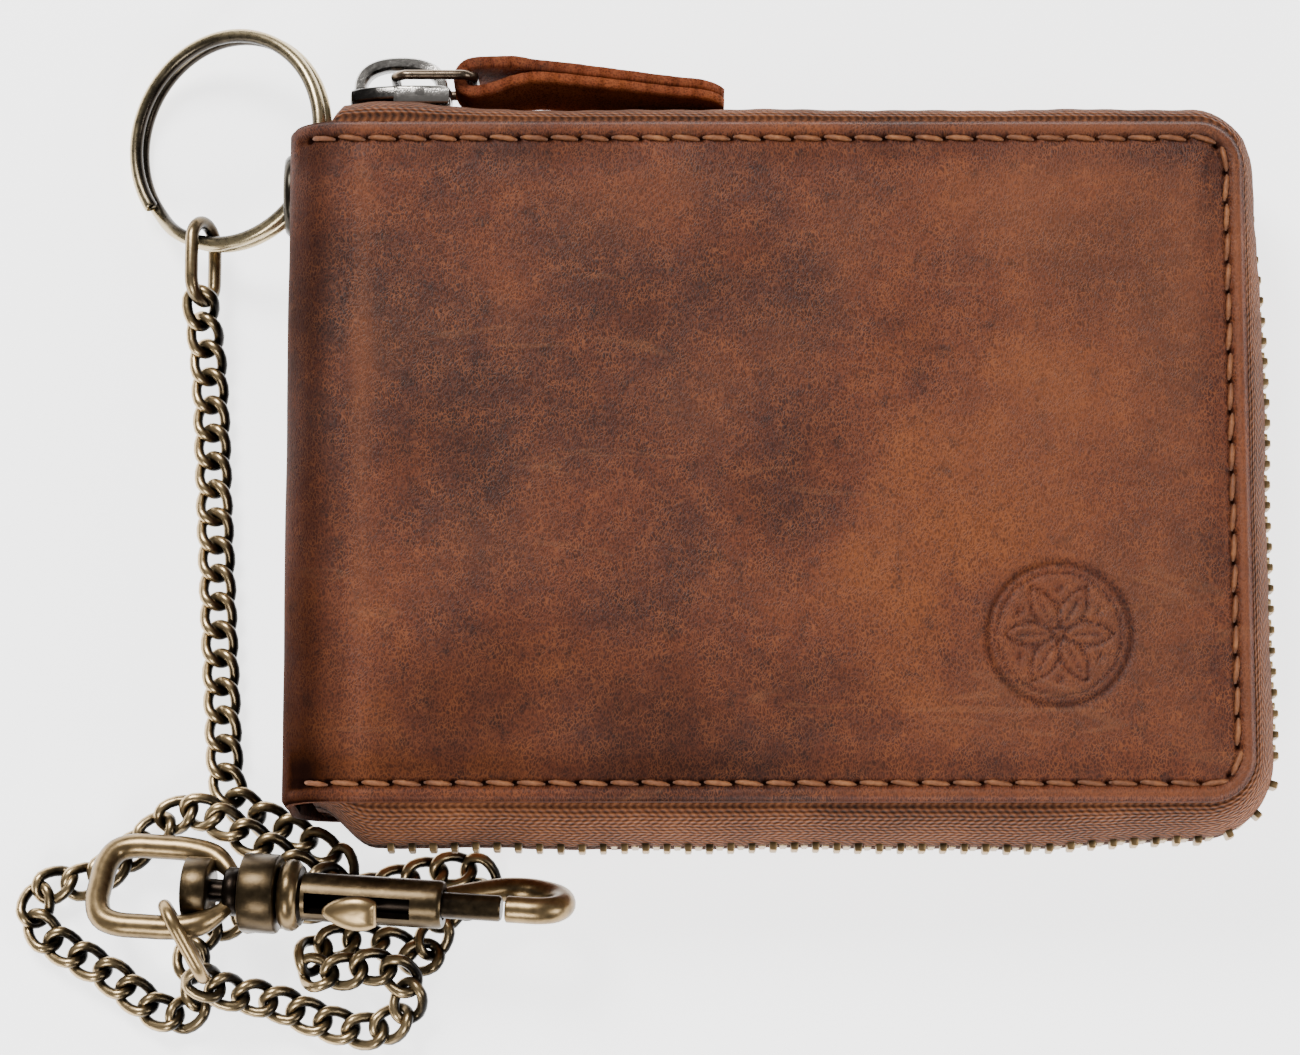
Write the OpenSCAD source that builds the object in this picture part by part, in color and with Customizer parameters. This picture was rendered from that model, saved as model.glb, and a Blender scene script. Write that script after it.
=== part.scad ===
// Chain wallet: a zip-around leather wallet with a key ring, a curb chain and a swivel snap hook.
// It lies on its back cover. X runs from the spine to the open side, Y up the spine, Z to the front cover.

/* [Wallet] */

// Outer length along X, spine to open side
wallet_w = 125; // [100:0.5:200]
// Outer height along Y
wallet_h = 89.5; // [70:0.5:120]
// Closed thickness along Z
wallet_t = 25; // [18:0.5:35]
// Radius of the covers' two free corners
corner_r = 6; // [3:0.5:12]
// Outer radius of the leather where it turns from the spine to a cover
spine_r = 7; // [4:0.5:10]
// Leather thickness of the covers
leather_t = 2; // [1.2:0.1:3]
// Leather thickness of the spine
spine_t = 1.6; // [1.2:0.1:2.5]
// Slit between the spine leather and each cover
fold_gap = 0.4; // [0.2:0.1:1]

/* [Stitching] */

// Distance of the stitch line from a cover's edge
stitch_inset = 2.3; // [1.5:0.1:4]
// Pitch of the stitches
stitch_pitch = 4; // [2.5:0.1:6]
// Width of the stitch groove
groove_w = 1.1; // [0.8:0.1:2]
// Depth of the stitch groove
groove_d = 0.6; // [0.3:0.1:1]

/* [Zipper] */

// Distance from one tooth to the next on one row
tooth_pitch = 2.75; // [2:0.05:4]
// Length of a tooth along its row
tooth_len = 1.1; // [0.8:0.05:2]
// Slot left between the two rows, for the slider's web
row_slot = 1.2; // [0.8:0.1:2]
// Where the tapes start, measured from the spine's outer face
tape_start = 8.5; // [8:0.5:14]
// Length of the slider
slider_len = 13.6; // [10:0.1:18]
// Width of the slider
slider_w = 9.8; // [8:0.1:14]
// Width of the leather pull tab
tab_w = 9; // [6:0.5:14]

/* [Interior] */

// Height of a card pocket
pocket_h = 68; // [54:1:76]
// Step from one pocket mouth to the next
pocket_step = 10; // [6:1:14]
// Thickness of an inner panel
panel_t = 0.8; // [0.5:0.1:1.2]

/* [Key ring and eyelet] */

// Mean radius of the split ring
ring_r = 14.3; // [10:0.1:18]
// Wire diameter of the split ring
ring_wire = 1.5; // [1:0.1:2.5]
// Lean of the split ring
ring_tilt = 26; // [0:1:40]
// Throat radius of the eyelet
eyelet_r = 4; // [2:0.1:5]
// Flange radius of the eyelet
flange_r = 5.5; // [4:0.1:8]

/* [Chain and snap hook] */

// Diameter of the round stand-in for the curb chain
chain_d = 3; // [2:0.1:6]
// Length of a connecting link
link_len = 12.5; // [9:0.1:16]
// Wire diameter of a connecting link
link_wire = 1.8; // [1.2:0.1:2.5]
// Overall length of the snap hook
snap_len = 63.4; // [45:0.5:90]
// Bolt diameter
bolt_d = 3.4; // [2.5:0.1:5]

/* [Hidden] */

$fn = 48;

xl = -wallet_w / 2;
xr = wallet_w / 2;
yh = wallet_h / 2;
zm = wallet_t / 2;
tape_x = xl + tape_start;
run_x = xr - corner_r - tape_x;
run_y = 2 * (yh - corner_r);

// Key ring centre, and where it goes through the spine
ring_c = [-71.5, 46.6, 7.5];
eyelet_c = [xl, 37.7, 12.2];

// Snap hook: outer end of its eye, and its turn, rise and roll
snap_o = [-88.4, -53.4, 7.4];
snap_turn = -4.3;
snap_rise = 6.6;
snap_roll = 24;
eye_roll = -30;

// Route of the chain from the top connecting link to the bottom one
chain_route = [
    [-75.5, 22.8, 4.6], [-74.5, 18, 2.6], [-74, 10.5, 1.6], [-73.5, 0.5, 1.6],
    [-73, -9, 1.6], [-72.5, -18.5, 1.6], [-72, -27.5, 1.6], [-71.5, -36, 1.6],
    [-71, -40, 1.6], [-69.5, -42.5, 1.6], [-66, -44.5, 1.6], [-62, -46.5, 1.6],
    [-58.5, -48.5, 2.2], [-55.8, -51, 3.4], [-56.8, -53, 4.8], [-60, -52.2, 5.1],
    [-63, -50.4, 5.1], [-65.5, -48.6, 5.1], [-68.5, -47, 5.1], [-72, -44.8, 4.9],
    [-76, -43.5, 3.6], [-79.5, -45.5, 2], [-82.5, -48, 1.6], [-85.5, -50.5, 1.6],
    [-89, -52.6, 1.6], [-92.5, -52.8, 1.6], [-95, -54, 1.6], [-96.2, -56.6, 1.6],
    [-95.2, -59.2, 1.6], [-92.2, -61.5, 1.6], [-88.6, -63.6, 1.6], [-84.8, -66, 1.6],
    [-81, -69, 1.6], [-77.5, -70.5, 1.6], [-74.5, -69, 1.6], [-74.5, -65.5, 1.6],
    [-75.5, -62.5, 1.6], [-74, -59.5, 1.6], [-69.5, -57.5, 1.6], [-64, -56.5, 1.6],
    [-58, -55.5, 1.5], [-52, -54, 1.5], [-46.5, -52.4, 1.5], [-42, -51.4, 1.5],
    [-38.8, -51.2, 1.5], [-37, -52.6, 1.5], [-38, -54.6, 1.5], [-41, -55.8, 1.5],
    [-43, -58, 1.5], [-43.5, -60.5, 1.5], [-44, -62.6, 1.5],
    [-46.5, -62.5, 1.6], [-49.5, -61, 1.6], [-53.5, -60.5, 1.6], [-57, -61, 1.6],
    [-59.8, -62.8, 2.4], [-58.5, -65.2, 4.4], [-54.5, -64.8, 5], [-51, -64.3, 5],
    [-47.5, -65.5, 4.8], [-46.5, -68, 4], [-48, -71, 3], [-52.5, -72.5, 2.2],
    [-58.5, -71, 2.2], [-63.5, -69, 3], [-67.8, -68, 4.8], [-71.9, -67.3, 6.6]];

// Tube along a route, as one closed surface
function unit(v) = v / norm(v);
function heading(p, i) = unit(p[min(i + 1, len(p) - 1)] - p[max(i - 1, 0)]);
function side_of(t) = unit(cross([0, 0, 1], t));
function tube_ring(p, i, r, n) = let (t = heading(p, i), s = side_of(t), u = cross(t, s))
    [for (k = [0:n - 1]) p[i] + r * (cos(360 * k / n) * s + sin(360 * k / n) * u)];
module tube(p, r, n = 8) {
    m = len(p);
    pts = [for (i = [0:m - 1]) each tube_ring(p, i, r, n)];
    walls = [for (i = [0:m - 2]) for (k = [0:n - 1])
        [i * n + k, i * n + (k + 1) % n, (i + 1) * n + (k + 1) % n, (i + 1) * n + k]];
    caps = [[for (k = [n - 1:-1:0]) k], [for (k = [0:n - 1]) (m - 1) * n + k]];
    polyhedron(points = pts, faces = [for (f = concat(walls, caps)) [for (k = [len(f) - 1:-1:0]) f[k]]]);
}

// Sweep of a profile round the three open sides: its x runs outward from the cover's edge, its y up
module around() {
    translate([tape_x, yh, 0])
        rotate([90, 0, 90])
            linear_extrude(height = run_x)
                children();
    translate([xr - corner_r, yh - corner_r, 0])
        rotate_extrude(angle = 90)
            translate([corner_r, 0])
                children();
    translate([xr, yh - corner_r, 0])
        rotate([90, 0, 0])
            linear_extrude(height = run_y)
                children();
    translate([xr - corner_r, -(yh - corner_r), 0])
        rotate([0, 0, -90])
            rotate_extrude(angle = 90)
                translate([corner_r, 0])
                    children();
    translate([xr - corner_r, -yh, 0])
        rotate([90, 0, -90])
            linear_extrude(height = run_x)
                children();
}

// Puts a child, which points outward along +X, at s along a line d outside the cover's edge
module at_edge(s, d) {
    r = corner_r + d;
    arc = PI / 2 * r;
    if (s < run_x)
        translate([tape_x + s, yh + d, 0])
            rotate([0, 0, 90])
                children();
    else if (s < run_x + arc)
        translate([xr - corner_r, yh - corner_r, 0])
            rotate([0, 0, 90 - 90 * (s - run_x) / arc])
                translate([r, 0, 0])
                    children();
    else if (s < run_x + arc + run_y)
        translate([xr + d, yh - corner_r - (s - run_x - arc), 0])
            children();
    else if (s < run_x + 2 * arc + run_y)
        translate([xr - corner_r, corner_r - yh, 0])
            rotate([0, 0, -90 * (s - run_x - arc - run_y) / arc])
                translate([r, 0, 0])
                    children();
    else
        translate([xr - corner_r - (s - run_x - 2 * arc - run_y), -yh - d, 0])
            rotate([0, 0, -90])
                children();
}

// Flat plate with the covers' outline, drawn in by an inset
module plate(inset, z0, t, x0) {
    r = max(corner_r - inset, 0.6);
    translate([x0, -yh + inset, z0])
        cube([xr - inset - r - x0, wallet_h - 2 * inset, t]);
    translate([xr - inset - r - 0.01, -yh + inset + r, z0])
        cube([r + 0.01, wallet_h - 2 * inset - 2 * r, t]);
    for (s = [-1, 1])
        translate([xr - inset - r, s * (yh - inset - r), z0])
            cylinder(h = t, r = r);
}

// Mirror of the front half onto the back half
module flip() {
    translate([0, 0, wallet_t])
        mirror([0, 0, 1])
            children();
}

// Six-petal rosette
module rosette(t) {
    for (k = [0:5])
        rotate([0, 0, 60 * k])
            linear_extrude(height = t)
                polygon([[1.6, 0], [4, 1.7], [8, 0], [4, -1.7]]);
    difference() {
        cylinder(h = t, r = 9.4);
        translate([0, 0, -1])
            cylinder(h = t + 2, r = 8.7);
    }
}

module front_leather() {
    color([0.50, 0.24, 0.12])
        difference() {
            plate(0, wallet_t - leather_t, leather_t, xl + spine_r + fold_gap);
            around()
                translate([-stitch_inset - groove_w / 2, wallet_t - groove_d])
                    square([groove_w, 2]);
            translate([37.5, -23.2, wallet_t - 0.4])
                rosette(2);
        }
}

module back_leather() {
    color([0.50, 0.24, 0.12])
        difference() {
            plate(0, 0, leather_t, xl + spine_r + fold_gap);
            around()
                translate([-stitch_inset - groove_w / 2, groove_d - 2])
                    square([groove_w, 2]);
        }
}

module stitch_row() {
    total = 2 * run_x + run_y + PI * (corner_r - stitch_inset);
    n = floor(total / stitch_pitch);
    for (i = [0:n - 1])
        at_edge((i + 0.5) * total / n, -stitch_inset)
            translate([-0.35, -1.2, wallet_t - groove_d])
                cube([0.7, 2.4, groove_d - 0.05]);
}

module front_stitches() {
    color([0.78, 0.42, 0.16])
        stitch_row();
}

module back_stitches() {
    color([0.78, 0.42, 0.16])
        flip() stitch_row();
}

// Section of one tape: sewn under the cover, then curved down to the teeth
module tape_section() {
    z = wallet_t - leather_t;
    polygon([[-4.6, z], [-0.5, z], [1, z - 0.7], [2.6, z - 3.2], [3.5, z - 5.6], [3.7, z - 6.4],
        [3.7, zm + 1.5], [3.1, zm + 1.5], [3.1, z - 6.4], [2.8, z - 5.8], [2, z - 3.5],
        [0.6, z - 1.2], [-0.6, z - 0.6], [-4.6, z - 0.6]]);
}

module front_tape() {
    color([0.36, 0.20, 0.14])
        around() tape_section();
}

module back_tape() {
    color([0.36, 0.20, 0.14])
        flip() around() tape_section();
}

// One row of U-shaped teeth, each clamped over the edge of its tape
module tooth_row(shift) {
    total = 2 * run_x + run_y + PI * (corner_r + 3.4);
    n = floor(total / tooth_pitch);
    z0 = zm + row_slot / 2;
    z1 = zm + 1.5;
    z2 = zm + 3.7;
    for (i = [0:n - 2])
        at_edge((i + 0.5 + shift) * total / n, 0)
            rotate([90, 0, 0])
                linear_extrude(height = tooth_len, center = true)
                    polygon([[2.3, z0], [4.6, z0], [4.6, z2], [3.75, z2], [3.75, z1], [3.05, z1],
                        [3.05, z2], [2.3, z2]]);
}

module front_teeth() {
    color([0.62, 0.52, 0.38])
        tooth_row(0);
}

module back_teeth() {
    color([0.62, 0.52, 0.38])
        flip() tooth_row(0.5);
}

module lining() {
    plate(4.8, wallet_t - leather_t - 0.6, 0.6, xl + spine_r + 1.5);
}

module front_lining() {
    color([0.28, 0.16, 0.10])
        lining();
}

module back_lining() {
    color([0.28, 0.16, 0.10])
        flip() lining();
}

module pocket(k) {
    h = pocket_h - k * pocket_step;
    translate([-50, -36, wallet_t - leather_t - 0.6 - (k + 1) * panel_t])
        cube([102, h, panel_t]);
}

module front_pocket_1() {
    color([0.45, 0.22, 0.12])
        pocket(0);
}

module front_pocket_2() {
    color([0.45, 0.22, 0.12])
        pocket(1);
}

module front_pocket_3() {
    color([0.45, 0.22, 0.12])
        pocket(2);
}

module front_bill_panel() {
    color([0.40, 0.20, 0.11])
        pocket(3);
}

module back_pocket_1() {
    color([0.45, 0.22, 0.12])
        flip() pocket(0);
}

module back_pocket_2() {
    color([0.45, 0.22, 0.12])
        flip() pocket(1);
}

module back_pocket_3() {
    color([0.45, 0.22, 0.12])
        flip() pocket(2);
}

module back_bill_panel() {
    color([0.40, 0.20, 0.11])
        flip() pocket(3);
}

// Bent strip of the spine, between two radii
module spine_shell(ro, ri, y0, y1) {
    for (s = [0, 1])
        translate([xl + spine_r, y0, s == 0 ? spine_r : wallet_t - spine_r])
            rotate([-90, 0, 0])
                intersection() {
                    difference() {
                        cylinder(h = y1 - y0, r = ro);
                        translate([0, 0, -1])
                            cylinder(h = y1 - y0 + 2, r = ri);
                    }
                    translate([-20, s == 0 ? 0 : -20, -1])
                        cube([20, 20, y1 - y0 + 2]);
                }
    translate([xl + spine_r - ro, y0, spine_r])
        cube([ro - ri, y1 - y0, wallet_t - 2 * spine_r]);
}

module spine_leather() {
    color([0.42, 0.19, 0.10])
        difference() {
            spine_shell(spine_r, spine_r - spine_t, -yh, yh);
            translate([xl - 5, eyelet_c[1], eyelet_c[2]])
                rotate([0, 90, 0])
                    cylinder(h = 10, r = eyelet_r + 0.5);
        }
}

module spine_lining() {
    color([0.28, 0.16, 0.10])
        spine_shell(spine_r - spine_t, spine_r - spine_t - 0.5, -yh + 2, 30);
}

// Domed flange outside the spine, with a barrel through it
module eyelet() {
    color([0.60, 0.55, 0.45])
        translate([xl, eyelet_c[1], eyelet_c[2]])
            rotate([0, 90, 0])
                rotate_extrude()
                    polygon([[eyelet_r, 1.9], [eyelet_r, 0.2], [eyelet_r + 0.4, -0.6],
                        [4.7, -1.2], [5.1, -1.1], [flange_r - 0.1, -0.6], [flange_r, 0],
                        [eyelet_r + 0.5, 0], [eyelet_r + 0.5, 1.9]]);
}

module eyelet_washer() {
    color([0.60, 0.55, 0.45])
        translate([xl + spine_t, eyelet_c[1], eyelet_c[2]])
            rotate([0, 90, 0])
                difference() {
                    cylinder(h = 0.3, r = 5);
                    translate([0, 0, -1])
                        cylinder(h = 3, r = eyelet_r + 0.5);
                }
}

// Two coils of the split ring, each with a small step at its end
module key_ring() {
    color([0.66, 0.62, 0.52])
        translate(ring_c)
            rotate([0, -ring_tilt, 0])
                difference() {
                    for (s = [-1, 1])
                        translate([0, 0, s * 0.74])
                            rotate_extrude()
                                translate([ring_r, 0])
                                    circle(d = ring_wire);
                    rotate([0, 0, 165])
                        translate([ring_r, 0, 1.1])
                            cube([4, 0.4, 1.2], center = true);
                    rotate([0, 0, 200])
                        translate([ring_r, 0, -1.1])
                            cube([4, 0.4, 1.2], center = true);
                }
}

module chain() {
    color([0.50, 0.42, 0.30])
        tube(chain_route, chain_d / 2);
}

// Oval link whose centreline is long along Y and w wide
module oval_link(w) {
    r = w / 2;
    h = link_len - link_wire - w;
    for (s = [-1, 1])
        translate([s * r, h / 2, 0])
            rotate([90, 0, 0])
                cylinder(h = h, d = link_wire);
    translate([0, h / 2, 0])
        rotate_extrude(angle = 180)
            translate([r, 0])
                circle(d = link_wire);
    translate([0, -h / 2, 0])
        rotate([0, 0, 180])
            rotate_extrude(angle = 180)
                translate([r, 0])
                    circle(d = link_wire);
}

module top_link() {
    color([0.50, 0.42, 0.30])
        translate([-75, 30.2, 6])
            rotate([0, 90 - ring_tilt, 0])
                oval_link(6);
}

module bottom_link() {
    color([0.50, 0.42, 0.30])
        translate([-75.5, -61.5, 11])
            rotate([0, 22, -61.4])
                rotate([90, 0, 0])
                    rotate([0, 0, 90])
                        oval_link(6);
}

// Local frame of the snap hook: x along its axis from the eye's outer end
module on_snap(roll) {
    translate(snap_o)
        rotate([roll, -snap_rise, snap_turn])
            children();
}

// Rounded-rectangle frame of the eye, with a flat boss for the pin in its inner end
module swivel_eye() {
    color([0.46, 0.39, 0.28])
        on_snap(eye_roll)
            difference() {
                union() {
                    for (x = [1.6, 18.8])
                        translate([x, -3, 0])
                            rotate([-90, 0, 0])
                                cylinder(h = 6, r = 1.6);
                    for (s = [-1, 1]) {
                        translate([4.8, s * 6.2, 0])
                            rotate([0, 90, 0])
                                cylinder(h = 10.8, r = 1.6);
                        translate([4.8, s * 3, 0])
                            rotate([0, 0, s > 0 ? 90 : 180])
                                rotate_extrude(angle = 90)
                                    translate([3.2, 0])
                                        circle(r = 1.6);
                        translate([15.6, s * 3, 0])
                            rotate([0, 0, s > 0 ? 0 : -90])
                                rotate_extrude(angle = 90)
                                    translate([3.2, 0])
                                        circle(r = 1.6);
                    }
                    translate([18.2, 0, 0])
                        rotate([0, 90, 0])
                            cylinder(h = 2.1, r = 3);
                }
                rotate([0, 90, 0])
                    cylinder(h = 30, r = 1.8);
            }
}

module rod(x0, x1, r) {
    translate([x0, 0, 0])
        rotate([0, 90, 0])
            cylinder(h = x1 - x0, r = r);
}

// Quarter turn of round wire in the hook's plane, about (x, z), from angle a
module bend(x, z, r, a) {
    translate([x, 0, z])
        rotate([90, 0, 0])
            rotate([0, 0, a])
                rotate_extrude(angle = 90)
                    translate([r, 0])
                        circle(r = 1.6);
}

module hook() {
    translate([0, 0, -3.6])
        rod(42.8, 47.8, 1.5);
    bend(54, -2.4, 6, 180);
    translate([0, 0, -8.4])
        rod(54, 55.8, 1.6);
    bend(55.8, -2.4, 6, 270);
    bend(59.4, -2.4, 2.4, 0);
    rod(55, 59.4, 1.6);
}

module snap_body() {
    color([0.46, 0.39, 0.28])
        on_snap(snap_roll)
            difference() {
                union() {
                    rod(12.9, 16.1, 4.2);
                    rod(16, 20.7, 1.5);
                    rod(20.6, 25.3, 5.15);
                    rod(25.2, 28.4, 4.7);
                    rod(28.3, 47, 3.15);
                    hook();
                }
                rod(29.2, 47.4, 2);
                translate([29.2, -1.4, 0])
                    cube([14.1, 2.8, 6]);
            }
}

// Bolt with a thumb knob that stands through the slot
module snap_bolt() {
    color([0.46, 0.39, 0.28])
        on_snap(snap_roll) {
            rod(35.8, 54.7, bolt_d / 2);
            translate([37.2, 0, 0])
                cylinder(h = 5.2, r = 1.1);
            translate([37.2, 0, 5])
                cylinder(h = 1.5, r = 2.3);
            translate([0, 0, 5])
                linear_extrude(height = 1.5)
                    polygon([[32, 0], [34.8, 1.5], [37.2, 2.2], [37.2, -2.2], [34.8, -1.5]]);
        }
}

slider_c = xl + 7.5 + slider_len / 2;

// Outer half-oval of the arch, as points
function half_oval(a, b, y0) = [for (i = [0:16]) [a * cos(180 * i / 16), y0 + b * pow(sin(180 * i / 16), 0.7)]];

module slider() {
    color([0.72, 0.70, 0.66])
        translate([slider_c, yh, zm]) {
            difference() {
                translate([-slider_len / 2, 5.1, -slider_w / 2])
                    cube([slider_len, 1.8, slider_w]);
                for (s = [-1, 1])
                    translate([slider_len / 2, 0, s * slider_w / 2])
                        rotate([0, 45, 0])
                            cube([3, 30, 3], center = true);
            }
            translate([-5, 1.6, -0.3])
                cube([10, 3.6, 0.6]);
            translate([-6, 0.3, -4.4])
                cube([12, 1.4, 8.8]);
            translate([0, 0, -1.4])
                linear_extrude(height = 2.8)
                    difference() {
                        polygon(half_oval(6.25, 4.9, 6.8));
                        polygon(half_oval(4.7, 3.4, 6.8));
                    }
        }
}

pull_x = -48.8;
pull_y = 52.9;
pull_len = 10.4;
pull_half = 5.3;

module pull_ring() {
    color([0.60, 0.56, 0.48])
        translate([pull_x, pull_y, zm]) {
            for (x = [0, pull_len])
                translate([x, 0, -pull_half + 1.5])
                    cylinder(h = 2 * pull_half - 3, r = 0.65);
            for (s = [-1, 1]) {
                translate([1.5, 0, s * pull_half])
                    rotate([0, 90, 0])
                        cylinder(h = pull_len - 3, r = 0.65);
                for (e = [0, 1])
                    translate([e == 0 ? 1.5 : pull_len - 1.5, 0, s * (pull_half - 1.5)])
                        rotate([90, 0, 0])
                            rotate([0, 0, s > 0 ? (e == 0 ? 90 : 0) : (e == 0 ? 180 : 270)])
                                rotate_extrude(angle = 90)
                                    translate([1.5, 0])
                                        circle(r = 0.65);
            }
        }
}

fold_x = pull_x + pull_len;

// Folded strip of leather round the pull ring, lying along the top edge
module pull_tab() {
    color([0.52, 0.26, 0.13])
        difference() {
            translate([0, 0, zm - tab_w / 2])
                linear_extrude(height = tab_w)
                    polygon([[fold_x, 55.5], [-32, 55.3], [-19, 53.9], [-5.8, 52.5], [-4.9, 51.9],
                        [-4.9, 50.2], [-5.8, 49.8], [-19, 50.8], [-32, 51.5], [fold_x, 50.3],
                        [-39.7, 50.65], [-40.65, 51.6], [-41, 52.9], [-40.65, 54.2], [-39.7, 55.15]]);
            translate([fold_x, pull_y, zm - tab_w])
                cylinder(h = 2 * tab_w, r = 0.95);
            translate([0, 0, zm - tab_w])
                linear_extrude(height = 2 * tab_w)
                    polygon([[-38, 53.7], [-34.2, 53.8], [-30.2, 53.4], [-34.2, 52.8], [-38, 52.1]]);
            difference() {
                translate([-9.4, 40, zm - tab_w])
                    cube([20, 30, 2 * tab_w]);
                translate([-9.4, 30, zm])
                    rotate([-90, 0, 0])
                        cylinder(h = 50, r = tab_w / 2);
            }
        }
}

// Two rows of stitches through the tab's outer layer
module tab_stitches() {
    color([0.78, 0.42, 0.16])
        for (s = [-1, 1])
            for (i = [0:5])
                translate([-29.5 + 3.4 * i, 55.03 - 0.366 * i, zm + s * 3.2])
                    rotate([0, 0, -6.15])
                        translate([-1.2, 0.03, -0.35])
                            cube([2.4, 0.35, 0.7]);
}

spine_leather();
spine_lining();
eyelet();
eyelet_washer();
chain();
top_link();
bottom_link();
swivel_eye();
key_ring();
snap_body();
snap_bolt();
front_leather();
front_stitches();
front_tape();
front_teeth();
front_lining();
front_pocket_1();
front_pocket_2();
front_pocket_3();
front_bill_panel();
back_leather();
back_stitches();
back_tape();
back_teeth();
back_lining();
back_pocket_1();
back_pocket_2();
back_pocket_3();
back_bill_panel();
slider();
pull_ring();
pull_tab();
tab_stitches();
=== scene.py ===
import bpy
import math
import numpy as np
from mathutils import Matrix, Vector


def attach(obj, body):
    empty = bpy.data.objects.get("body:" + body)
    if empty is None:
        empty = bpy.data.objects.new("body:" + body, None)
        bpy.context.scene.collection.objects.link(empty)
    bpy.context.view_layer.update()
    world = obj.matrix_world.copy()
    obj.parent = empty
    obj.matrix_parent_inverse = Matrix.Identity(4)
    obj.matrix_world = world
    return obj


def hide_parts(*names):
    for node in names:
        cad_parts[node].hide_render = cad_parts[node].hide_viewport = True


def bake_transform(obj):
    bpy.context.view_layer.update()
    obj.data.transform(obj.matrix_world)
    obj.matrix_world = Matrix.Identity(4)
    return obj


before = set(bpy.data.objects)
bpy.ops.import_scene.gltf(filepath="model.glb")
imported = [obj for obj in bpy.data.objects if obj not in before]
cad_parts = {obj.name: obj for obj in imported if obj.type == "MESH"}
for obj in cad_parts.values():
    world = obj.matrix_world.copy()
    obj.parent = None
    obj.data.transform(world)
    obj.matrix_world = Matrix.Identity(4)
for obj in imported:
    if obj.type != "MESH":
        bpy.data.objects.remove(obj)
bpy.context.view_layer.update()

R0 = np.random.RandomState(7)
# in millimetres: closed thickness, left and right ends, half height
T, XL, XR, YH = 25.0, -62.5, 62.5, 44.75
# radius of the cover's corners, and of the spine's two bends
CR, SR = 6.0, 7.0
# the stitches' distance from the edge, and the leather's thickness
STITCH_IN = 2.3
SPINE_LEATHER, COVER_LEATHER = 1.6, 2.0
SPINE_ENDS_AT = -55.6


# ---------------------------------------------------------------- mesh helpers
def unit(v):
    v = np.asarray(v, float)
    return v / max(np.linalg.norm(v), 1e-12)


class Soup:
    """Collects parts of one mesh, in millimetres."""

    def __init__(self):
        self.v, self.f, self.m, self.n, self.att, self.uv = [], [], [], 0, [], []

    def add(self, v, f, mat=0, att=0.0, uv=None):
        v = np.asarray(v, float)
        self.v.append(v)
        self.f += [tuple(int(i) + self.n for i in q) for q in f]
        self.m += [mat] * len(f)
        self.att.append(np.broadcast_to(np.asarray(att, float), (len(v),)))
        self.uv.append(np.zeros((len(v), 2)) if uv is None else np.asarray(uv, float))
        self.n += len(v)
        return self

    def make(self, name, mats, body=None, slot=None, smooth=True, auto=None):
        me = bpy.data.meshes.new(name)
        v = np.concatenate(self.v) * 0.001
        me.from_pydata(v.tolist(), [], self.f)
        for m in mats if isinstance(mats, (list, tuple)) else [mats]:
            me.materials.append(m)
        me.polygons.foreach_set("material_index", self.m)
        me.polygons.foreach_set("use_smooth", [smooth] * len(self.f))
        # per-point tone for the shaders: real wear and random tone together with painted light and painted
        # shade
        a = me.attributes.new("wear_and_painted_light", "FLOAT", "POINT")
        a.data.foreach_set("value", np.concatenate(self.att))
        uv = np.concatenate(self.uv)
        if np.abs(uv).sum() > 0:
            lay = me.uv_layers.new(name="Rest")
            idx = np.empty(len(me.loops), np.int32)
            me.loops.foreach_get("vertex_index", idx)
            lay.data.foreach_set("uv", uv[idx].ravel())
        me.validate()
        me.update()
        if auto:
            me.set_sharp_from_angle(angle=math.radians(auto))
        o = bpy.data.objects.new(name, me)
        bpy.context.scene.collection.objects.link(o)
        if body:
            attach(o, body)
        return o


def grid_faces(nu, nv, close_u=False, close_v=False, flip=False):
    out = []
    for i in range(nu if close_u else nu - 1):
        for j in range(nv if close_v else nv - 1):
            a, b = i * nv + j, i * nv + (j + 1) % nv
            c, d = ((i + 1) % nu) * nv + (j + 1) % nv, ((i + 1) % nu) * nv + j
            out.append((a, d, c, b) if flip else (a, b, c, d))
    return out


def frames(p, closed, up=None):
    """Tangents, and normals carried along without twist."""
    n = len(p)
    t = np.array([unit(p[(i + 1) % n] - p[i - 1]) if closed or 0 < i < n - 1 else
                  (unit(p[1] - p[0]) if i == 0 else unit(p[-1] - p[-2])) for i in range(n)])
    u = np.array([0, 0, 1.0]) if up is None else np.array(up, float)
    if abs(np.dot(u, t[0])) > 0.95:
        u = np.array([0, 1.0, 0])
    nn = [unit(u - np.dot(u, t[0]) * t[0])]
    for i in range(1, n):
        w = nn[-1] - np.dot(nn[-1], t[i]) * t[i]
        nn.append(unit(w))
    nn = np.array(nn)
    if closed:
        w = unit(nn[-1] - np.dot(nn[-1], t[0]) * t[0])
        a = math.atan2(np.dot(np.cross(w, nn[0]), t[0]), np.dot(w, nn[0]))
        for i in range(n):
            c, s = math.cos(a * i / n), math.sin(a * i / n)
            nn[i] = c * nn[i] + s * np.cross(t[i], nn[i])
    return t, nn, np.cross(t, nn)


def tube(p, r, n=12, closed=False, up=None):
    """(vertices, faces) of round wire through points; r may vary."""
    p = np.asarray(p, float)
    r = np.broadcast_to(np.asarray(r, float), (len(p),))
    _, a, b = frames(p, closed, up)
    k = np.arange(n) * 2 * math.pi / n
    v = (p[:, None] + r[:, None, None] * (np.cos(k)[None, :, None] * a[:, None]
                                          + np.sin(k)[None, :, None] * b[:, None])).reshape(-1, 3)
    f = grid_faces(len(p), n, close_u=closed, close_v=True)
    if not closed:
        f += [tuple(range(n)), tuple(range((len(p) - 1) * n + n - 1, (len(p) - 1) * n - 1, -1))]
    return v, f


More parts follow.
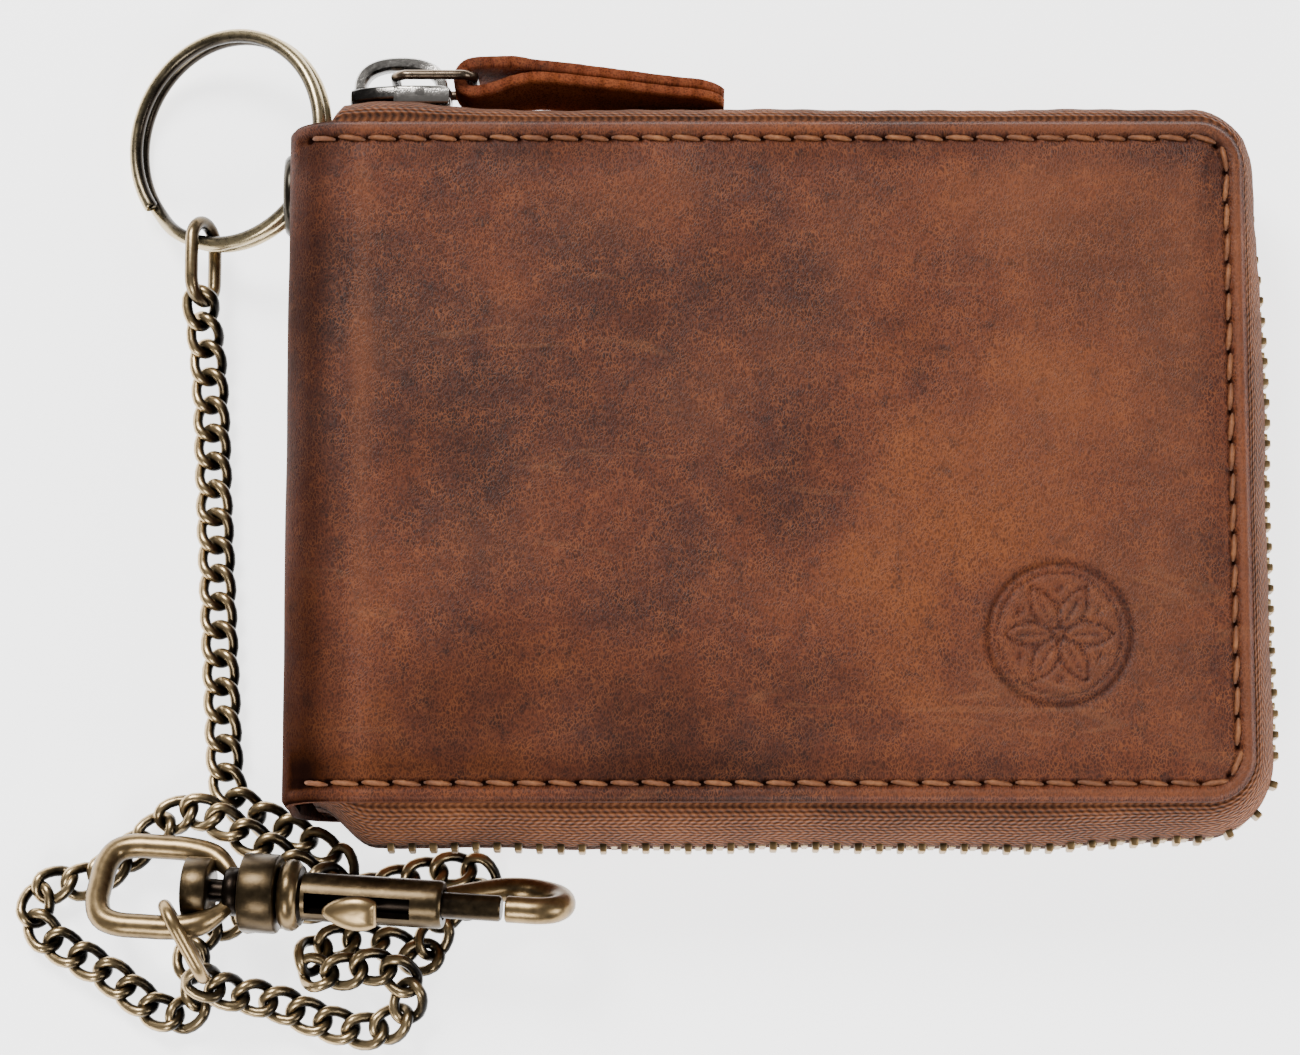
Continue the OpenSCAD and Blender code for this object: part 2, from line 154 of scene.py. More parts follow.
def ended(p, r, n=12, up=None, round_=0.35):
    """Wire with slightly rounded ends."""
    p = np.asarray(p, float)
    r = np.broadcast_to(np.asarray(r, float), (len(p),)).copy()
    q = round_ * r[0]
    d0, d1 = unit(p[0] - p[1]), unit(p[-1] - p[-2])
    pts = ([p[0], p[0] - d0 * q * 0.35, p[0] - d0 * q] + list(p[1:-1])
           + [p[-1] - d1 * q, p[-1] - d1 * q * 0.35, p[-1]])
    rr = [r[0] - q, r[0] - q * 0.3, r[0]] + list(r[1:-1]) + [r[-1], r[-1] - q * 0.3, r[-1] - q]
    return tube(pts, rr, n, up=up)


def spline(pts, step, closed=False):
    """Smooth curve through points, at about one step apart."""
    p = [np.array(q, float) for q in pts]
    n = len(p)
    out = []
    for i in range(n if closed else n - 1):
        a, b = p[i], p[(i + 1) % n]
        z = p[i - 1] if closed or i > 0 else 2 * a - b
        c = p[(i + 2) % n] if closed or i < n - 2 else 2 * b - a
        for s in np.arange(24) / 24:
            out.append(0.5 * (2 * a + (b - z) * s + (2 * z - 5 * a + 4 * b - c) * s * s
                              + (3 * a - z - 3 * b + c) * s ** 3))
    if not closed:
        out.append(p[-1])
    else:
        out.append(out[0])
    out = np.array(out)
    d = np.concatenate([[0], np.cumsum(np.linalg.norm(np.diff(out, axis=0), axis=1))])
    m = max(int(round(d[-1] / step)), 2)
    s = np.linspace(0, d[-1], m + 1)
    q = np.stack([np.interp(s, d, out[:, k]) for k in range(3)], 1)
    return q[:-1] if closed else q


def lathe(prof, axis_pt, ax, up, n=40):
    """Profile of (station, radius) turned about a line."""
    ax = unit(ax)
    u = unit(np.array(up) - np.dot(up, ax) * ax)
    w = np.cross(ax, u)
    k = np.arange(n) * 2 * math.pi / n
    pr = np.array(prof, float)
    v = (np.array(axis_pt)[None, None] + pr[:, 0, None, None] * ax
         + pr[:, 1, None, None] * (np.cos(k)[None, :, None] * u + np.sin(k)[None, :, None] * w)).reshape(-1,
                 3)
    f = grid_faces(len(pr), n, close_v=True, flip=True)
    return v, f


def smooth01(x):
    """Eases from 0 to 1."""
    x = np.clip(x, 0, 1)
    return x * x * (3 - 2 * x)


def bell(x, width):
    """A bump of height 1 at x = 0."""
    return np.exp(-(x / width) ** 2)


# ---------------------------------------------------------------- materials
class Mat:
    def __init__(self, name):
        self.m = bpy.data.materials.new(name)
        self.m.use_nodes = True
        self.t = self.m.node_tree
        self.b = self.t.nodes["Principled BSDF"]

    def node(self, kind, **kw):
        n = self.t.nodes.new(kind)
        for k, v in kw.items():
            setattr(n, k, v)
        return n

    def link(self, a, b):
        self.t.links.new(a, b)

    def coord(self, uv):
        if uv:
            return self.node("ShaderNodeUVMap", uv_map="Rest").outputs["UV"]
        return self.node("ShaderNodeTexCoord").outputs["Object"]

    def noise(self, co, scale, detail=3, rough=0.55, dist=0.0, sx=(1, 1, 1)):
        mp = self.node("ShaderNodeMapping")
        mp.inputs["Scale"].default_value = sx
        self.link(co, mp.inputs["Vector"])
        n = self.node("ShaderNodeTexNoise")
        n.inputs["Scale"].default_value = scale
        n.inputs["Detail"].default_value = detail
        n.inputs["Roughness"].default_value = rough
        n.inputs["Distortion"].default_value = dist
        self.link(mp.outputs["Vector"], n.inputs["Vector"])
        return n.outputs[0]

    def ramp(self, fac, stops):
        r = self.node("ShaderNodeValToRGB")
        e = r.color_ramp.elements
        while len(e) < len(stops):
            e.new(0.5)
        for k, (p, c) in enumerate(stops):
            e[k].position = p
            e[k].color = (*c, 1) if len(c) == 3 else c
        self.link(fac, r.inputs["Fac"])
        return r.outputs["Color"]

    def math(self, op, a, b=None, c=None, clamp=False):
        n = self.node("ShaderNodeMath", operation=op, use_clamp=clamp)
        for k, v in enumerate((a, b, c)):
            if v is None:
                continue
            if isinstance(v, (int, float)):
                n.inputs[k].default_value = v
            else:
                self.link(v, n.inputs[k])
        return n.outputs[0]

    def mix(self, fac, a, b, mode="MIX"):
        n = self.node("ShaderNodeMix", data_type="RGBA", blend_type=mode)
        for k, v in ((0, fac), (6, a), (7, b)):
            if isinstance(v, (int, float)):
                n.inputs[k].default_value = v
            elif isinstance(v, tuple):
                n.inputs[k].default_value = (*v, 1)
            else:
                self.link(v, n.inputs[k])
        return n.outputs[2]

    def bump(self, height, strength, dist, normal=None):
        n = self.node("ShaderNodeBump")
        n.inputs["Strength"].default_value = strength
        n.inputs["Distance"].default_value = dist
        self.link(height, n.inputs["Height"])
        if normal is not None:
            self.link(normal, n.inputs["Normal"])
        return n.outputs["Normal"]

    def attr(self, name):
        return self.node("ShaderNodeAttribute", attribute_name=name).outputs["Fac"]

    def sep(self, co):
        n = self.node("ShaderNodeSeparateXYZ")
        self.link(co, n.inputs[0])
        return n.outputs

    def set(self, **kw):
        for k, v in kw.items():
            s = self.b.inputs[k.replace("_", " ")]
            if isinstance(v, (int, float, tuple)):
                s.default_value = (*v, 1) if isinstance(v, tuple) else v
            else:
                self.link(v, s)
        return self.m


def leather_mat(name, uv=True, dark=1.0, edge=False):
    m = Mat(name)
    co = m.coord(uv)
    big = m.noise(co, 16, 3, 0.55, 0.5)
    mid = m.noise(co, 62, 4, 0.6, 0.35)
    fine = m.noise(co, 2300, 3, 0.62)
    base = m.ramp(m.math("MULTIPLY_ADD", mid, 0.42, m.math("MULTIPLY", big, 0.58)), [
        (0.36, (0.042 * dark, 0.0120 * dark, 0.0070 * dark)),
        (0.46, (0.078 * dark, 0.0200 * dark, 0.0094 * dark)),
        (0.55, (0.124 * dark, 0.0300 * dark, 0.0112 * dark)),
        (0.66, (0.200 * dark, 0.0540 * dark, 0.0140 * dark))])
    spots = m.ramp(m.noise(co, 330, 3, 0.6), [(0.0, (0, 0, 0)), (0.57, (0, 0, 0)), (0.70, (1, 1, 1))])
    col = m.mix(m.math("MULTIPLY", spots, 0.60), base, (0.024, 0.0085, 0.0062))
    vein = m.noise(co, 640, 3, 0.55, 0.6, sx=(1.9, 0.8, 1.0))
    line = m.ramp(vein, [(0.0, (0, 0, 0)), (0.47, (0, 0, 0)), (0.505, (1, 1, 1)), (0.54, (0, 0, 0))])
    col = m.mix(m.math("MULTIPLY", line, 0.26), col, (0.27, 0.078, 0.024))
    warp = m.noise(co, 420, 2, 0.5)
    turn = m.node("ShaderNodeMapping")
    turn.inputs["Rotation"].default_value = (0, 0, 0.55)
    turn.inputs["Scale"].default_value = (1.25, 0.72, 1.0)
    m.link(co, turn.inputs["Vector"])
    cells = m.node("ShaderNodeTexVoronoi", feature="DISTANCE_TO_EDGE")
    cells.inputs["Scale"].default_value = 2350
    cells.inputs["Randomness"].default_value = 1.0
    shift = m.node("ShaderNodeVectorMath", operation="ADD")
    comb = m.node("ShaderNodeCombineXYZ")
    m.link(m.math("MULTIPLY", warp, 0.0016), comb.inputs[0])
    m.link(m.math("MULTIPLY", vein, 0.0010), comb.inputs[1])
    m.link(turn.outputs[0], shift.inputs[0])
    m.link(comb.outputs[0], shift.inputs[1])
    m.link(shift.outputs[0], cells.inputs["Vector"])
    cell = cells.outputs["Distance"]
    lit = m.ramp(cell, [(0.0, (1.0, 1.0, 1.0)), (0.06, (0.96, 0.96, 0.96)), (0.24, (0.50, 0.50, 0.53))])
    col = m.mix(0.85, col, lit, "MULTIPLY")
    col = m.mix(0.80, col, m.ramp(fine, [(0.34, (0.52, 0.52, 0.54)), (0.60, (1.0, 1.0, 1.0))]), "MULTIPLY")
    hot = m.ramp(cell, [(0.0, (1, 1, 1)), (0.04, (0.55, 0.55, 0.55)), (0.11, (0, 0, 0))])
    part = m.ramp(m.noise(co, 300, 3, 0.6), [(0.40, (0.12, 0.12, 0.12)), (0.62, (1, 1, 1))])
    col = m.mix(m.math("MULTIPLY", m.math("MULTIPLY", hot, part), 0.60), col, (0.26, 0.082, 0.026))
    scr = m.noise(co, 34, 2, 0.5, 1.2, sx=(1.0, 6.0, 1.0))
    s = m.ramp(scr, [(0.0, (0, 0, 0)), (0.665, (0, 0, 0)), (0.70, (1, 1, 1)), (0.735, (0, 0, 0))])
    col = m.mix(m.math("MULTIPLY", s, 0.10), col, (0.40, 0.17, 0.07))
    # per-point tone: darkening toward near black is real wear together with painted shade, lightening
    # toward tan is real wear together with painted light and sheen
    wear_and_painted_light = m.attr("wear_and_painted_light")
    darkening_wear_and_shade = m.math("MULTIPLY", wear_and_painted_light, 1.0, clamp=True)
    col = m.mix(darkening_wear_and_shade, col, (0.010, 0.0035, 0.0022))
    lightening_wear_and_sheen = m.math("MULTIPLY", wear_and_painted_light, -1.0, clamp=True)
    col = m.mix(lightening_wear_and_sheen, col, (0.25, 0.078, 0.028))
    h = m.math("MULTIPLY_ADD", m.math("MINIMUM", cell, 0.30), 1.6, m.math("MULTIPLY", fine, 0.7))
    n = m.bump(h, 0.55, 0.00014)
    n = m.bump(vein, 0.20, 0.00035, n)
    rough = m.math("MULTIPLY_ADD", fine, 0.22, m.math("MULTIPLY_ADD", mid, 0.16, 0.36 if not edge
                                                      else 0.55))
    rough = m.math("MULTIPLY_ADD", darkening_wear_and_shade, 0.35, rough)
    spec = m.math("MULTIPLY_ADD", darkening_wear_and_shade, -0.30, 0.26 if not edge else 0.12, clamp=True)
    return m.set(Base_Color=col, Roughness=rough, Normal=n, Specular_IOR_Level=spec)


def metal_mat(name, bright, darkc, wear_and_light_gain=1.0, rough=0.32, base_mix=0.45, scale=160):
    m = Mat(name)
    co = m.coord(False)
    n1 = m.noise(co, scale, 4, 0.6)
    n2 = m.noise(co, scale * 6, 3, 0.6)
    # the per-point tone holds painted light and painted shade as well as wear
    w = m.math("MULTIPLY_ADD", m.attr("wear_and_painted_light"), wear_and_light_gain, m.math("MULTIPLY_ADD", n1, 0.5, base_mix - 0.25))
    w = m.math("ADD", w, m.math("MULTIPLY", m.math("SUBTRACT", n2, 0.5), 0.35), clamp=True)
    col = m.ramp(w, [(0.08, darkc), (0.42, tuple(0.80 * d + 0.20 * b for d, b in zip(darkc, bright))),
                     (0.80, bright)])
    r = m.math("MULTIPLY_ADD", n2, 0.16, rough - 0.08)
    n = m.bump(n2, 0.12, 0.0002)
    return m.set(Base_Color=col, Roughness=r, Metallic=0.92, Normal=n)


def tape_mat():
    m = Mat("tape_weave")
    co = m.coord(True)
    u, v, _ = m.sep(co)
    wob = m.noise(co, 420, 2, 0.5)
    tri = m.math("ABSOLUTE", m.math("SUBTRACT", m.math("FRACT", m.math("MULTIPLY", v, 1000 / 3.2)), 0.5))
    ph = m.math("ADD", m.math("MULTIPLY", u, 1000 / 1.05), m.math("MULTIPLY", tri, 2.9))
    ph = m.math("MULTIPLY_ADD", wob, 0.45, ph)
    wave = m.math("SINE", m.math("MULTIPLY", ph, 2 * math.pi))
    cross = m.math("SINE", m.math("MULTIPLY", m.math("MULTIPLY_ADD", wob, 0.0002, v),
                                  2 * math.pi * 1000 / 0.64))
    h = m.math("MULTIPLY_ADD", wave, 0.36, m.math("MULTIPLY", cross, 0.36))
    fine = m.noise(co, 1700, 3, 0.7)
    big = m.noise(co, 60, 3, 0.6)
    h = m.math("MULTIPLY_ADD", fine, 1.0, h)
    col = m.ramp(m.math("MULTIPLY_ADD", h, 0.30, m.math("MULTIPLY", big, 0.55)), [
        (0.16, (0.022, 0.0072, 0.0030)), (0.42, (0.132, 0.041, 0.0135)), (0.70, (0.32, 0.112, 0.040))])
    col = m.mix(m.math("MULTIPLY", m.attr("wear_and_painted_light"), 1.0, clamp=True), col, (0.02, 0.010, 0.007))
    n = m.bump(h, 0.9, 0.00026)
    return m.set(Base_Color=col, Roughness=0.86, Normal=n, Specular_IOR_Level=0.2, Sheen_Weight=0.08)


def cloth_mat(name, c, scale=1500):
    m = Mat(name)
    co = m.coord(False)
    x, y, _ = m.sep(co)
    a = m.math("SINE", m.math("MULTIPLY", x, scale * 4))
    b = m.math("SINE", m.math("MULTIPLY", y, scale * 4))
    h = m.math("MULTIPLY", a, b)
    col = m.mix(m.math("MULTIPLY_ADD", h, 0.2, 0.4), tuple(k * 0.6 for k in c),
                tuple(min(k * 1.35, 1) for k in c))
    return m.set(Base_Color=col, Roughness=0.9, Normal=m.bump(h, 0.4, 0.00015))


def thread_mat():
    m = Mat("thread")
    co = m.coord(False)
    f = m.noise(co, 900, 4, 0.7)
    big = m.noise(co, 150, 3, 0.6)
    col = m.ramp(m.math("MULTIPLY_ADD", f, 0.6, m.math("MULTIPLY", big, 0.4)), [
        (0.30, (0.075, 0.022, 0.008)), (0.5, (0.215, 0.072, 0.022)), (0.72, (0.40, 0.160, 0.055))])
    col = m.mix(m.math("MULTIPLY", m.attr("wear_and_painted_light"), 1.0, clamp=True), col, (0.05, 0.018, 0.007))
    return m.set(Base_Color=col, Roughness=0.62, Normal=m.bump(f, 0.5, 0.0002))


M_LEATHER = leather_mat("oiled_leather", dark=1.12)
M_TAB = leather_mat("tab_leather", uv=True, dark=2.3, edge=True)
M_INNER = leather_mat("inner_leather", uv=False, dark=0.62)
M_TAPE = tape_mat()
M_LINING = cloth_mat("lining_cloth", (0.060, 0.034, 0.022))
M_THREAD = thread_mat()
M_CHAIN = metal_mat("chain_antique", (0.50, 0.36, 0.19), (0.006, 0.005, 0.0042), 1.35, 0.30, 0.20)
M_SNAP = metal_mat("snap_antique", (0.34, 0.232, 0.112), (0.012, 0.0078, 0.005), 1.6, 0.32, 0.36)
M_RING = metal_mat("ring_antique", (0.50, 0.40, 0.235), (0.030, 0.024, 0.018), 1.1, 0.28, 0.56)
M_EYELET = metal_mat("eyelet_antique", (0.20, 0.165, 0.115), (0.022, 0.019, 0.015), 0.9, 0.30, 0.34)
M_TEETH = metal_mat("teeth_antique", (0.34, 0.225, 0.105), (0.020, 0.013, 0.008), 1.1, 0.40, 0.50)
M_SLIDER = metal_mat("slider_nickel", (0.40, 0.375, 0.345), (0.014, 0.012, 0.011), 1.4, 0.17, 0.36, 330)
M_PULL = metal_mat("pull_antique", (0.24, 0.175, 0.120), (0.018, 0.013, 0.010), 1.0, 0.28, 0.38)

# ---------------------------------------------------------------- camera
cam = bpy.data.objects.new("camera", bpy.data.cameras.new("camera"))
bpy.context.scene.collection.objects.link(cam)
el = math.radians(80)
target = Vector((-0.0150, -0.00936, 0.025))
away = Vector((0, -math.cos(el), math.sin(el)))
cam.location = target + away * 0.6
cam.rotation_euler = (-away).to_track_quat("-Z", "Y").to_euler()
cam.data.sensor_width = 36
cam.data.lens = 129
cam.data.clip_start, cam.data.clip_end = 0.01, 20
bpy.context.scene.camera = cam

# ---------------------------------------------------------------- chain
ROUTE = [
    (-75.5, 22.8, 4.6), (-74.5, 18, 2.6), (-74, 10.5, 1.6), (-73.5, 0.5, 1.6),
    (-73, -9, 1.6), (-72.5, -18.5, 1.6), (-72, -27.5, 1.6), (-71.5, -36, 1.6),
    (-71, -40, 1.6), (-69.5, -42.5, 1.6), (-66, -44.5, 1.6), (-62, -46.5, 1.6),
    (-58.5, -48.5, 2.2), (-55.8, -51, 3.4), (-56.8, -53, 4.8), (-60, -52.2, 5.1),
    (-63, -50.4, 5.1), (-65.5, -48.6, 5.1), (-68.5, -47, 5.1), (-72, -44.8, 4.9),
    (-76, -43.5, 3.6), (-79.5, -45.5, 2), (-82.5, -48, 1.6), (-85.5, -50.5, 1.6),
    (-89, -52.6, 1.6), (-92.5, -52.8, 1.6), (-95, -54, 1.6), (-96.2, -56.6, 1.6),
    (-95.2, -59.2, 1.6), (-92.2, -61.5, 1.6), (-88.6, -63.6, 1.6), (-84.8, -66, 1.6),
    (-81, -69, 1.6), (-77.5, -70.5, 1.6), (-74.5, -69, 1.6), (-74.5, -65.5, 1.6),
    (-75.5, -62.5, 1.6), (-74, -59.5, 1.6), (-69.5, -57.5, 1.6), (-64, -56.5, 1.6),
    (-58, -55.5, 1.5), (-52, -54, 1.5), (-46.5, -52.4, 1.5), (-42, -51.4, 1.5),
    (-38.8, -51.2, 1.5), (-37, -52.6, 1.5), (-38, -54.6, 1.5), (-41, -55.8, 1.5),
    (-43, -58, 1.5), (-43.5, -60.5, 1.5), (-44, -62.6, 1.5),
    (-46.5, -62.5, 1.6), (-49.5, -61, 1.6), (-53.5, -60.5, 1.6), (-57, -61, 1.6),
    (-59.8, -62.8, 2.4), (-58.5, -65.2, 4.4), (-54.5, -64.8, 5), (-51, -64.3, 5),
    (-47.5, -65.5, 4.8), (-46.5, -68, 4), (-48, -71, 3), (-52.5, -72.5, 2.2),
    (-58.5, -71, 2.2), (-63.5, -69, 3), (-67.8, -68, 4.8), (-71.9, -67.3, 6.6)]


def curb_link(c, t, up, roll, wire=0.73, half=0.72, rad=1.86, twist=44, n=26, m=10):
    """One twisted link: a stadium whose ends are turned against each other."""
    t = unit(t)
    u = unit(up - np.dot(up, t) * t)
    s = np.cross(t, u)
    k = np.arange(n) * 2 * math.pi / n
    x = np.where(np.cos(k) >= 0, half, -half) * np.minimum(1, np.abs(np.cos(k)) * 3) + rad * np.cos(k)
    y = rad * np.sin(k)
    a = np.radians(roll + twist * x / (half + rad))
    p = c + x[:, None] * t + (y * np.cos(a))[:, None] * s + (y * np.sin(a))[:, None] * u
    v, f = tube(p, wire, m, closed=True, up=u)
    # painted light: brighter where a wire faces up and to the left and on the link's upper side, painted
    # shade toward the link's right; worn bright on the outer side of the loop, black inside
    out = (v - np.repeat(p, m, 0)) / wire
    painted_top_light = np.clip((v - c) @ u / 1.6, -1, 1)
    lit = out @ unit((-0.80, 0.20, 0.42))
    outward = np.einsum("ij,ij->i", out, np.repeat(p - c, m, 0))
    painted_shade_rightward = np.repeat((p - c) @ np.array([1.0, 0, 0]), m)
    w = np.clip(lit, -1, 1) * 0.62 - 0.05 + np.clip(outward / 2.4, -1, 1) * 0.16
    w = w + painted_top_light * 0.22 - 0.12 * painted_shade_rightward / 1.9
    return v, f, w


line = spline(ROUTE, 0.4)
LINKED = [(-75.2, 24.0, 5.6)] + ROUTE[1:-1] + [(-71.9, -67.2, 6.6), (-73.0, -66.5, 7.9)]
q = spline(LINKED, 0.4)
d = np.concatenate([[0], np.cumsum(np.linalg.norm(np.diff(q, axis=0), axis=1))])
links = np.stack([np.interp(np.linspace(0, d[-1], int(round(d[-1] / 3.82)) + 1), d, q[:, k])
                  for k in range(3)], 1)
soup = Soup()
jit = R0.randn(len(links))
for i, c in enumerate(links):
    t = links[min(i + 1, len(links) - 1)] - links[max(i - 1, 0)]
    lean = 6 * jit[i]
    v, f, w = curb_link(c, t, np.array([0, 0, 1.0]), lean)
    low = v[:, 2].min()
    if low < 0.05:
        v[:, 2] += 0.05 - low
    soup.add(v, f, att=w)
chain = soup.make("curb_chain", M_CHAIN, "spine", "chain_brass")
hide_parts("chain")


def oval_path(length, width, n=40):
    """Stadium centreline in XY, long along X, as points."""
    r, h = width / 2, (length - width) / 2
    k = np.arange(n) * 2 * math.pi / n
    x = r * np.cos(k) + h * np.clip(np.cos(k) * 6, -1, 1)
    return np.stack([x, r * np.sin(k), 0 * k], 1)


def wire_painted_light(v, p, m, up=(0, 0, 1), gain=0.35):
    """Painted light: brighter where the wire faces up."""
    o = v - np.repeat(p, m, 0)
    o /= np.linalg.norm(o, axis=1)[:, None]
    return gain * (o @ (np.array(up, float) + [-0.25, 0.1, 0]))


def placed(p, c, ax, ay):
    """Flat points moved to centre c, with their own x along ax."""
    ax = unit(ax)
    ay = unit(np.array(ay) - np.dot(ay, ax) * ax)
    az = np.cross(ax, ay)
    return np.array(c) + p[:, :1] * ax + p[:, 1:2] * ay + p[:, 2:] * az


tilt = math.radians(26)
RN = np.array([-math.sin(tilt), 0, math.cos(tilt)])
p = placed(oval_path(10.7, 6.0), (-75, 30.2, 6), (0, 1, 0), RN)
v, f = tube(p, 0.9, 14, closed=True)
top_link = Soup().add(v, f, att=wire_painted_light(v, p, 14)).make("top_link_oval", M_CHAIN, "spine", "chain_brass")
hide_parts("top_link")
ldir = np.array([0.4438, -0.8141, -0.3746])
p = placed(oval_path(10.7, 6.0), (-75.5, -61.5, 11), ldir, (0, 0, 1))
v, f = tube(p, 0.9, 14, closed=True)
bottom_link = Soup().add(v, f, att=0.15 + wire_painted_light(v, p, 14)).make("bottom_link_oval", M_SNAP, "spine",
        "chain_brass")
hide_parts("bottom_link")

# ---------------------------------------------------------------- snap hook
O = np.array([-88.4, -53.4, 7.4])
rise, turn = math.radians(6.6), math.radians(-4.3)
A = np.array([math.cos(rise) * math.cos(turn), math.cos(rise) * math.sin(turn), math.sin(rise)])


def snap_axes(roll):
    r = math.radians(roll)
    y0 = np.array([-math.sin(turn), math.cos(turn), 0])
    z0 = np.cross(A, y0)
    return math.cos(r) * y0 + math.sin(r) * z0, -math.sin(r) * y0 + math.cos(r) * z0


EY, EZ = snap_axes(-30)
HY, HZ = snap_axes(24)


def on(p, ay, az):
    p = np.asarray(p, float)
    return O + p[:, :1] * A + p[:, 1:2] * ay + p[:, 2:] * az


soup = Soup()
eye = [(1.6, 0, 0), (1.7, 3.0, 0), (2.7, 5.3, 0), (4.9, 6.3, 0), (8, 6.4, 0), (12.3, 6.3, 0),
       (15.6, 5.5, 0), (17.8, 3.8, 0), (19.0, 2.0, 0),
       (19.3, 0, 0), (19.0, -2.0, 0), (17.8, -3.8, 0), (15.6, -5.5, 0), (12.3, -6.3, 0), (8, -6.4, 0),
       (4.9, -6.3, 0), (2.7, -5.3, 0), (1.7, -3.0, 0)]
p = on(spline(eye, 0.7, closed=True), EY, EZ)
st = (p - O) @ A
rr = np.where(st > 15.6, 1.62 - 0.55 * smooth01((st - 15.6) / 3.2), 1.62)
v, f = tube(p, rr, 18, closed=True)
soup.add(v, f, att=wire_painted_light(v, p, 18, gain=0.25))
soup.add(*lathe([(18.3, 1.8), (18.3, 2.9), (18.6, 3.2), (20.0, 3.2), (20.3, 2.9), (20.3, 1.8)], O, A, HZ,
                32), att=-0.35)
swivel = soup.make("swivel_eye_frame", M_SNAP, "spine", "snap_metal", auto=50)
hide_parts("swivel_eye")


def arc_prof(x0, x1, r, b):
    return [(x0, 0.0), (x0, r - b), (x0 + b * 0.3, r - b * 0.3), (x0 + b, r), (x1 - b, r),
            (x1 - b * 0.3, r - b * 0.3), (x1, r - b), (x1, 0.0)]


soup = Soup()
soup.add(*lathe(arc_prof(12.9, 16.3, 4.25, 0.35), O, A, HZ, 48), att=0.0)
soup.add(*lathe([(16.0, 1.5), (20.9, 1.5)], O, A, HZ, 24), att=-0.5)
soup.add(*lathe(arc_prof(20.6, 25.4, 5.2, 0.4), O, A, HZ, 56), att=0.0)
bead = ([(25.3, 2.6), (25.7, 3.9)] + [(27.0 + 1.35 * math.sin(q), 3.4 + 1.3 * math.cos(q))
                                      for q in np.linspace(-1.2, 1.2, 9)] + [(28.4, 3.9), (28.7, 3.15)])
soup.add(*lathe(bead, O, A, HZ, 48), att=np.repeat([-0.4, -0.3] + [0.12] * 9 + [-0.3, -0.4], 48))
# barrel with its slot on the HZ side
sl = math.radians(26.4)
ang = np.concatenate([np.linspace(-sl, sl, 7), np.linspace(sl, 2 * math.pi - sl, 43)[1:-1]])
stn = [28.5, 29.2, 29.7] + list(np.linspace(30.8, 42.6, 9)) + [43.1, 43.6, 46.5, 46.9, 47.1]
na = len(ang)
ro = [3.15] * 15 + [3.08, 2.9]
cyl = lambda s, r: on(np.stack([np.full(na, s), r * np.sin(ang), r * np.cos(ang)], 1), HY, HZ)
outer = np.concatenate([cyl(s, r) for s, r in zip(stn, ro)])
inner = np.concatenate([cyl(s, 2.0) for s in stn])
v = np.concatenate([outer, inner])
f, ni = [], len(outer)
for i in range(len(stn) - 1):
    for j in range(na):
        k = (j + 1) % na
        hole = j < 6 and 29.1 <= stn[i] and stn[i + 1] <= 43.2
        a, b, c, d = i * na + j, i * na + k, (i + 1) * na + k, (i + 1) * na + j
        if not hole:
            f += [(a, b, c, d), (ni + a, ni + d, ni + c, ni + b)]
        elif j == 0:
            f.append((a, d, ni + d, ni + a))
        elif j == 5:
            f.append((b, ni + b, ni + c, c))
for j in range(na):
    k = (j + 1) % na
    e = (len(stn) - 1) * na
    f.append((e + j, e + k, ni + e + k, ni + e + j))
for i in (1, 12):
    for j in range(6):
        f.append((i * na + j, i * na + j + 1, ni + i * na + j + 1, ni + i * na + j))
soup.add(v, f, att=np.concatenate([np.full(ni, 0.02), np.full(ni, -0.9)]))
soup.add(*lathe([(28.8, 0.0), (28.8, 2.05)], O, A, HZ, 24), att=-0.9)
hook = [(45.4, 0, -1.9), (48.4, 0, -3.7), (51.4, 0, -6.2), (54.4, 0, -8.0), (57.9, 0, -8.1),
        (61.1, 0, -6.2), (62.2, 0, -3.4), (61.5, 0, -1.1),
        (59.6, 0, -0.1), (57.2, 0, 0), (55.3, 0, 0)]
p = on(spline(hook, 0.55), HY, HZ)
rr = np.interp(np.arange(len(p)) / (len(p) - 1), [0, 0.12, 0.5, 0.8, 1], [1.35, 1.6, 1.6, 1.75, 1.75])
v, f = ended(p, rr, 20, round_=0.15)
soup.add(v, f, att=0.15)
snap = soup.make("snap_body_cast", M_SNAP, "snap_body", "snap_metal", auto=42)
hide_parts("snap_body")

soup = Soup()
soup.add(*lathe([(35.4, 0), (35.4, 1.7), (54.4, 1.7), (54.7, 1.45), (54.7, 0)], O, A, HZ, 32),
         att=np.repeat([-0.4, -0.4, 0.0, -0.1, -0.3], 32))
soup.add(*lathe([(0, 1.1), (5.2, 1.1)], on([(37.2, 0, 0)], HY, HZ)[0], HZ, A, 20), att=-0.3)
th = np.arange(40) * 2 * math.pi / 40
ox = np.where(np.cos(th) > 0, 2.35 * np.clip(np.cos(th) * 1.35, -1, 1), 4.9 * np.cos(th))
oy = (2.35 * np.sin(th) * np.where(np.cos(th) > 0, 1, 1 - 0.25 * np.cos(th) ** 2) * np.clip(1.12
        - 0.02 * ox, 0, 1))
rows, w = [], []
for sc, h in [(0.0, 5.0), (0.82, 5.0), (0.95, 5.15), (1.0, 5.5), (0.97, 5.95), (0.86, 6.35), (0.62, 6.65),
              (0.32, 6.78), (0.0, 6.8)]:
    rows.append(np.stack([37.0 + ox * sc, oy * sc, np.full(40, h)], 1))
    w.append(np.full(40, 0.10 + 0.25 * (h > 5.6)))
v = on(np.concatenate(rows), HY, HZ)
soup.add(v, grid_faces(9, 40, close_v=True), att=np.concatenate(w))
bolt = soup.make("snap_bolt_knob", M_SNAP, "snap_bolt", "snap_metal", auto=45)
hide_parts("snap_bolt")

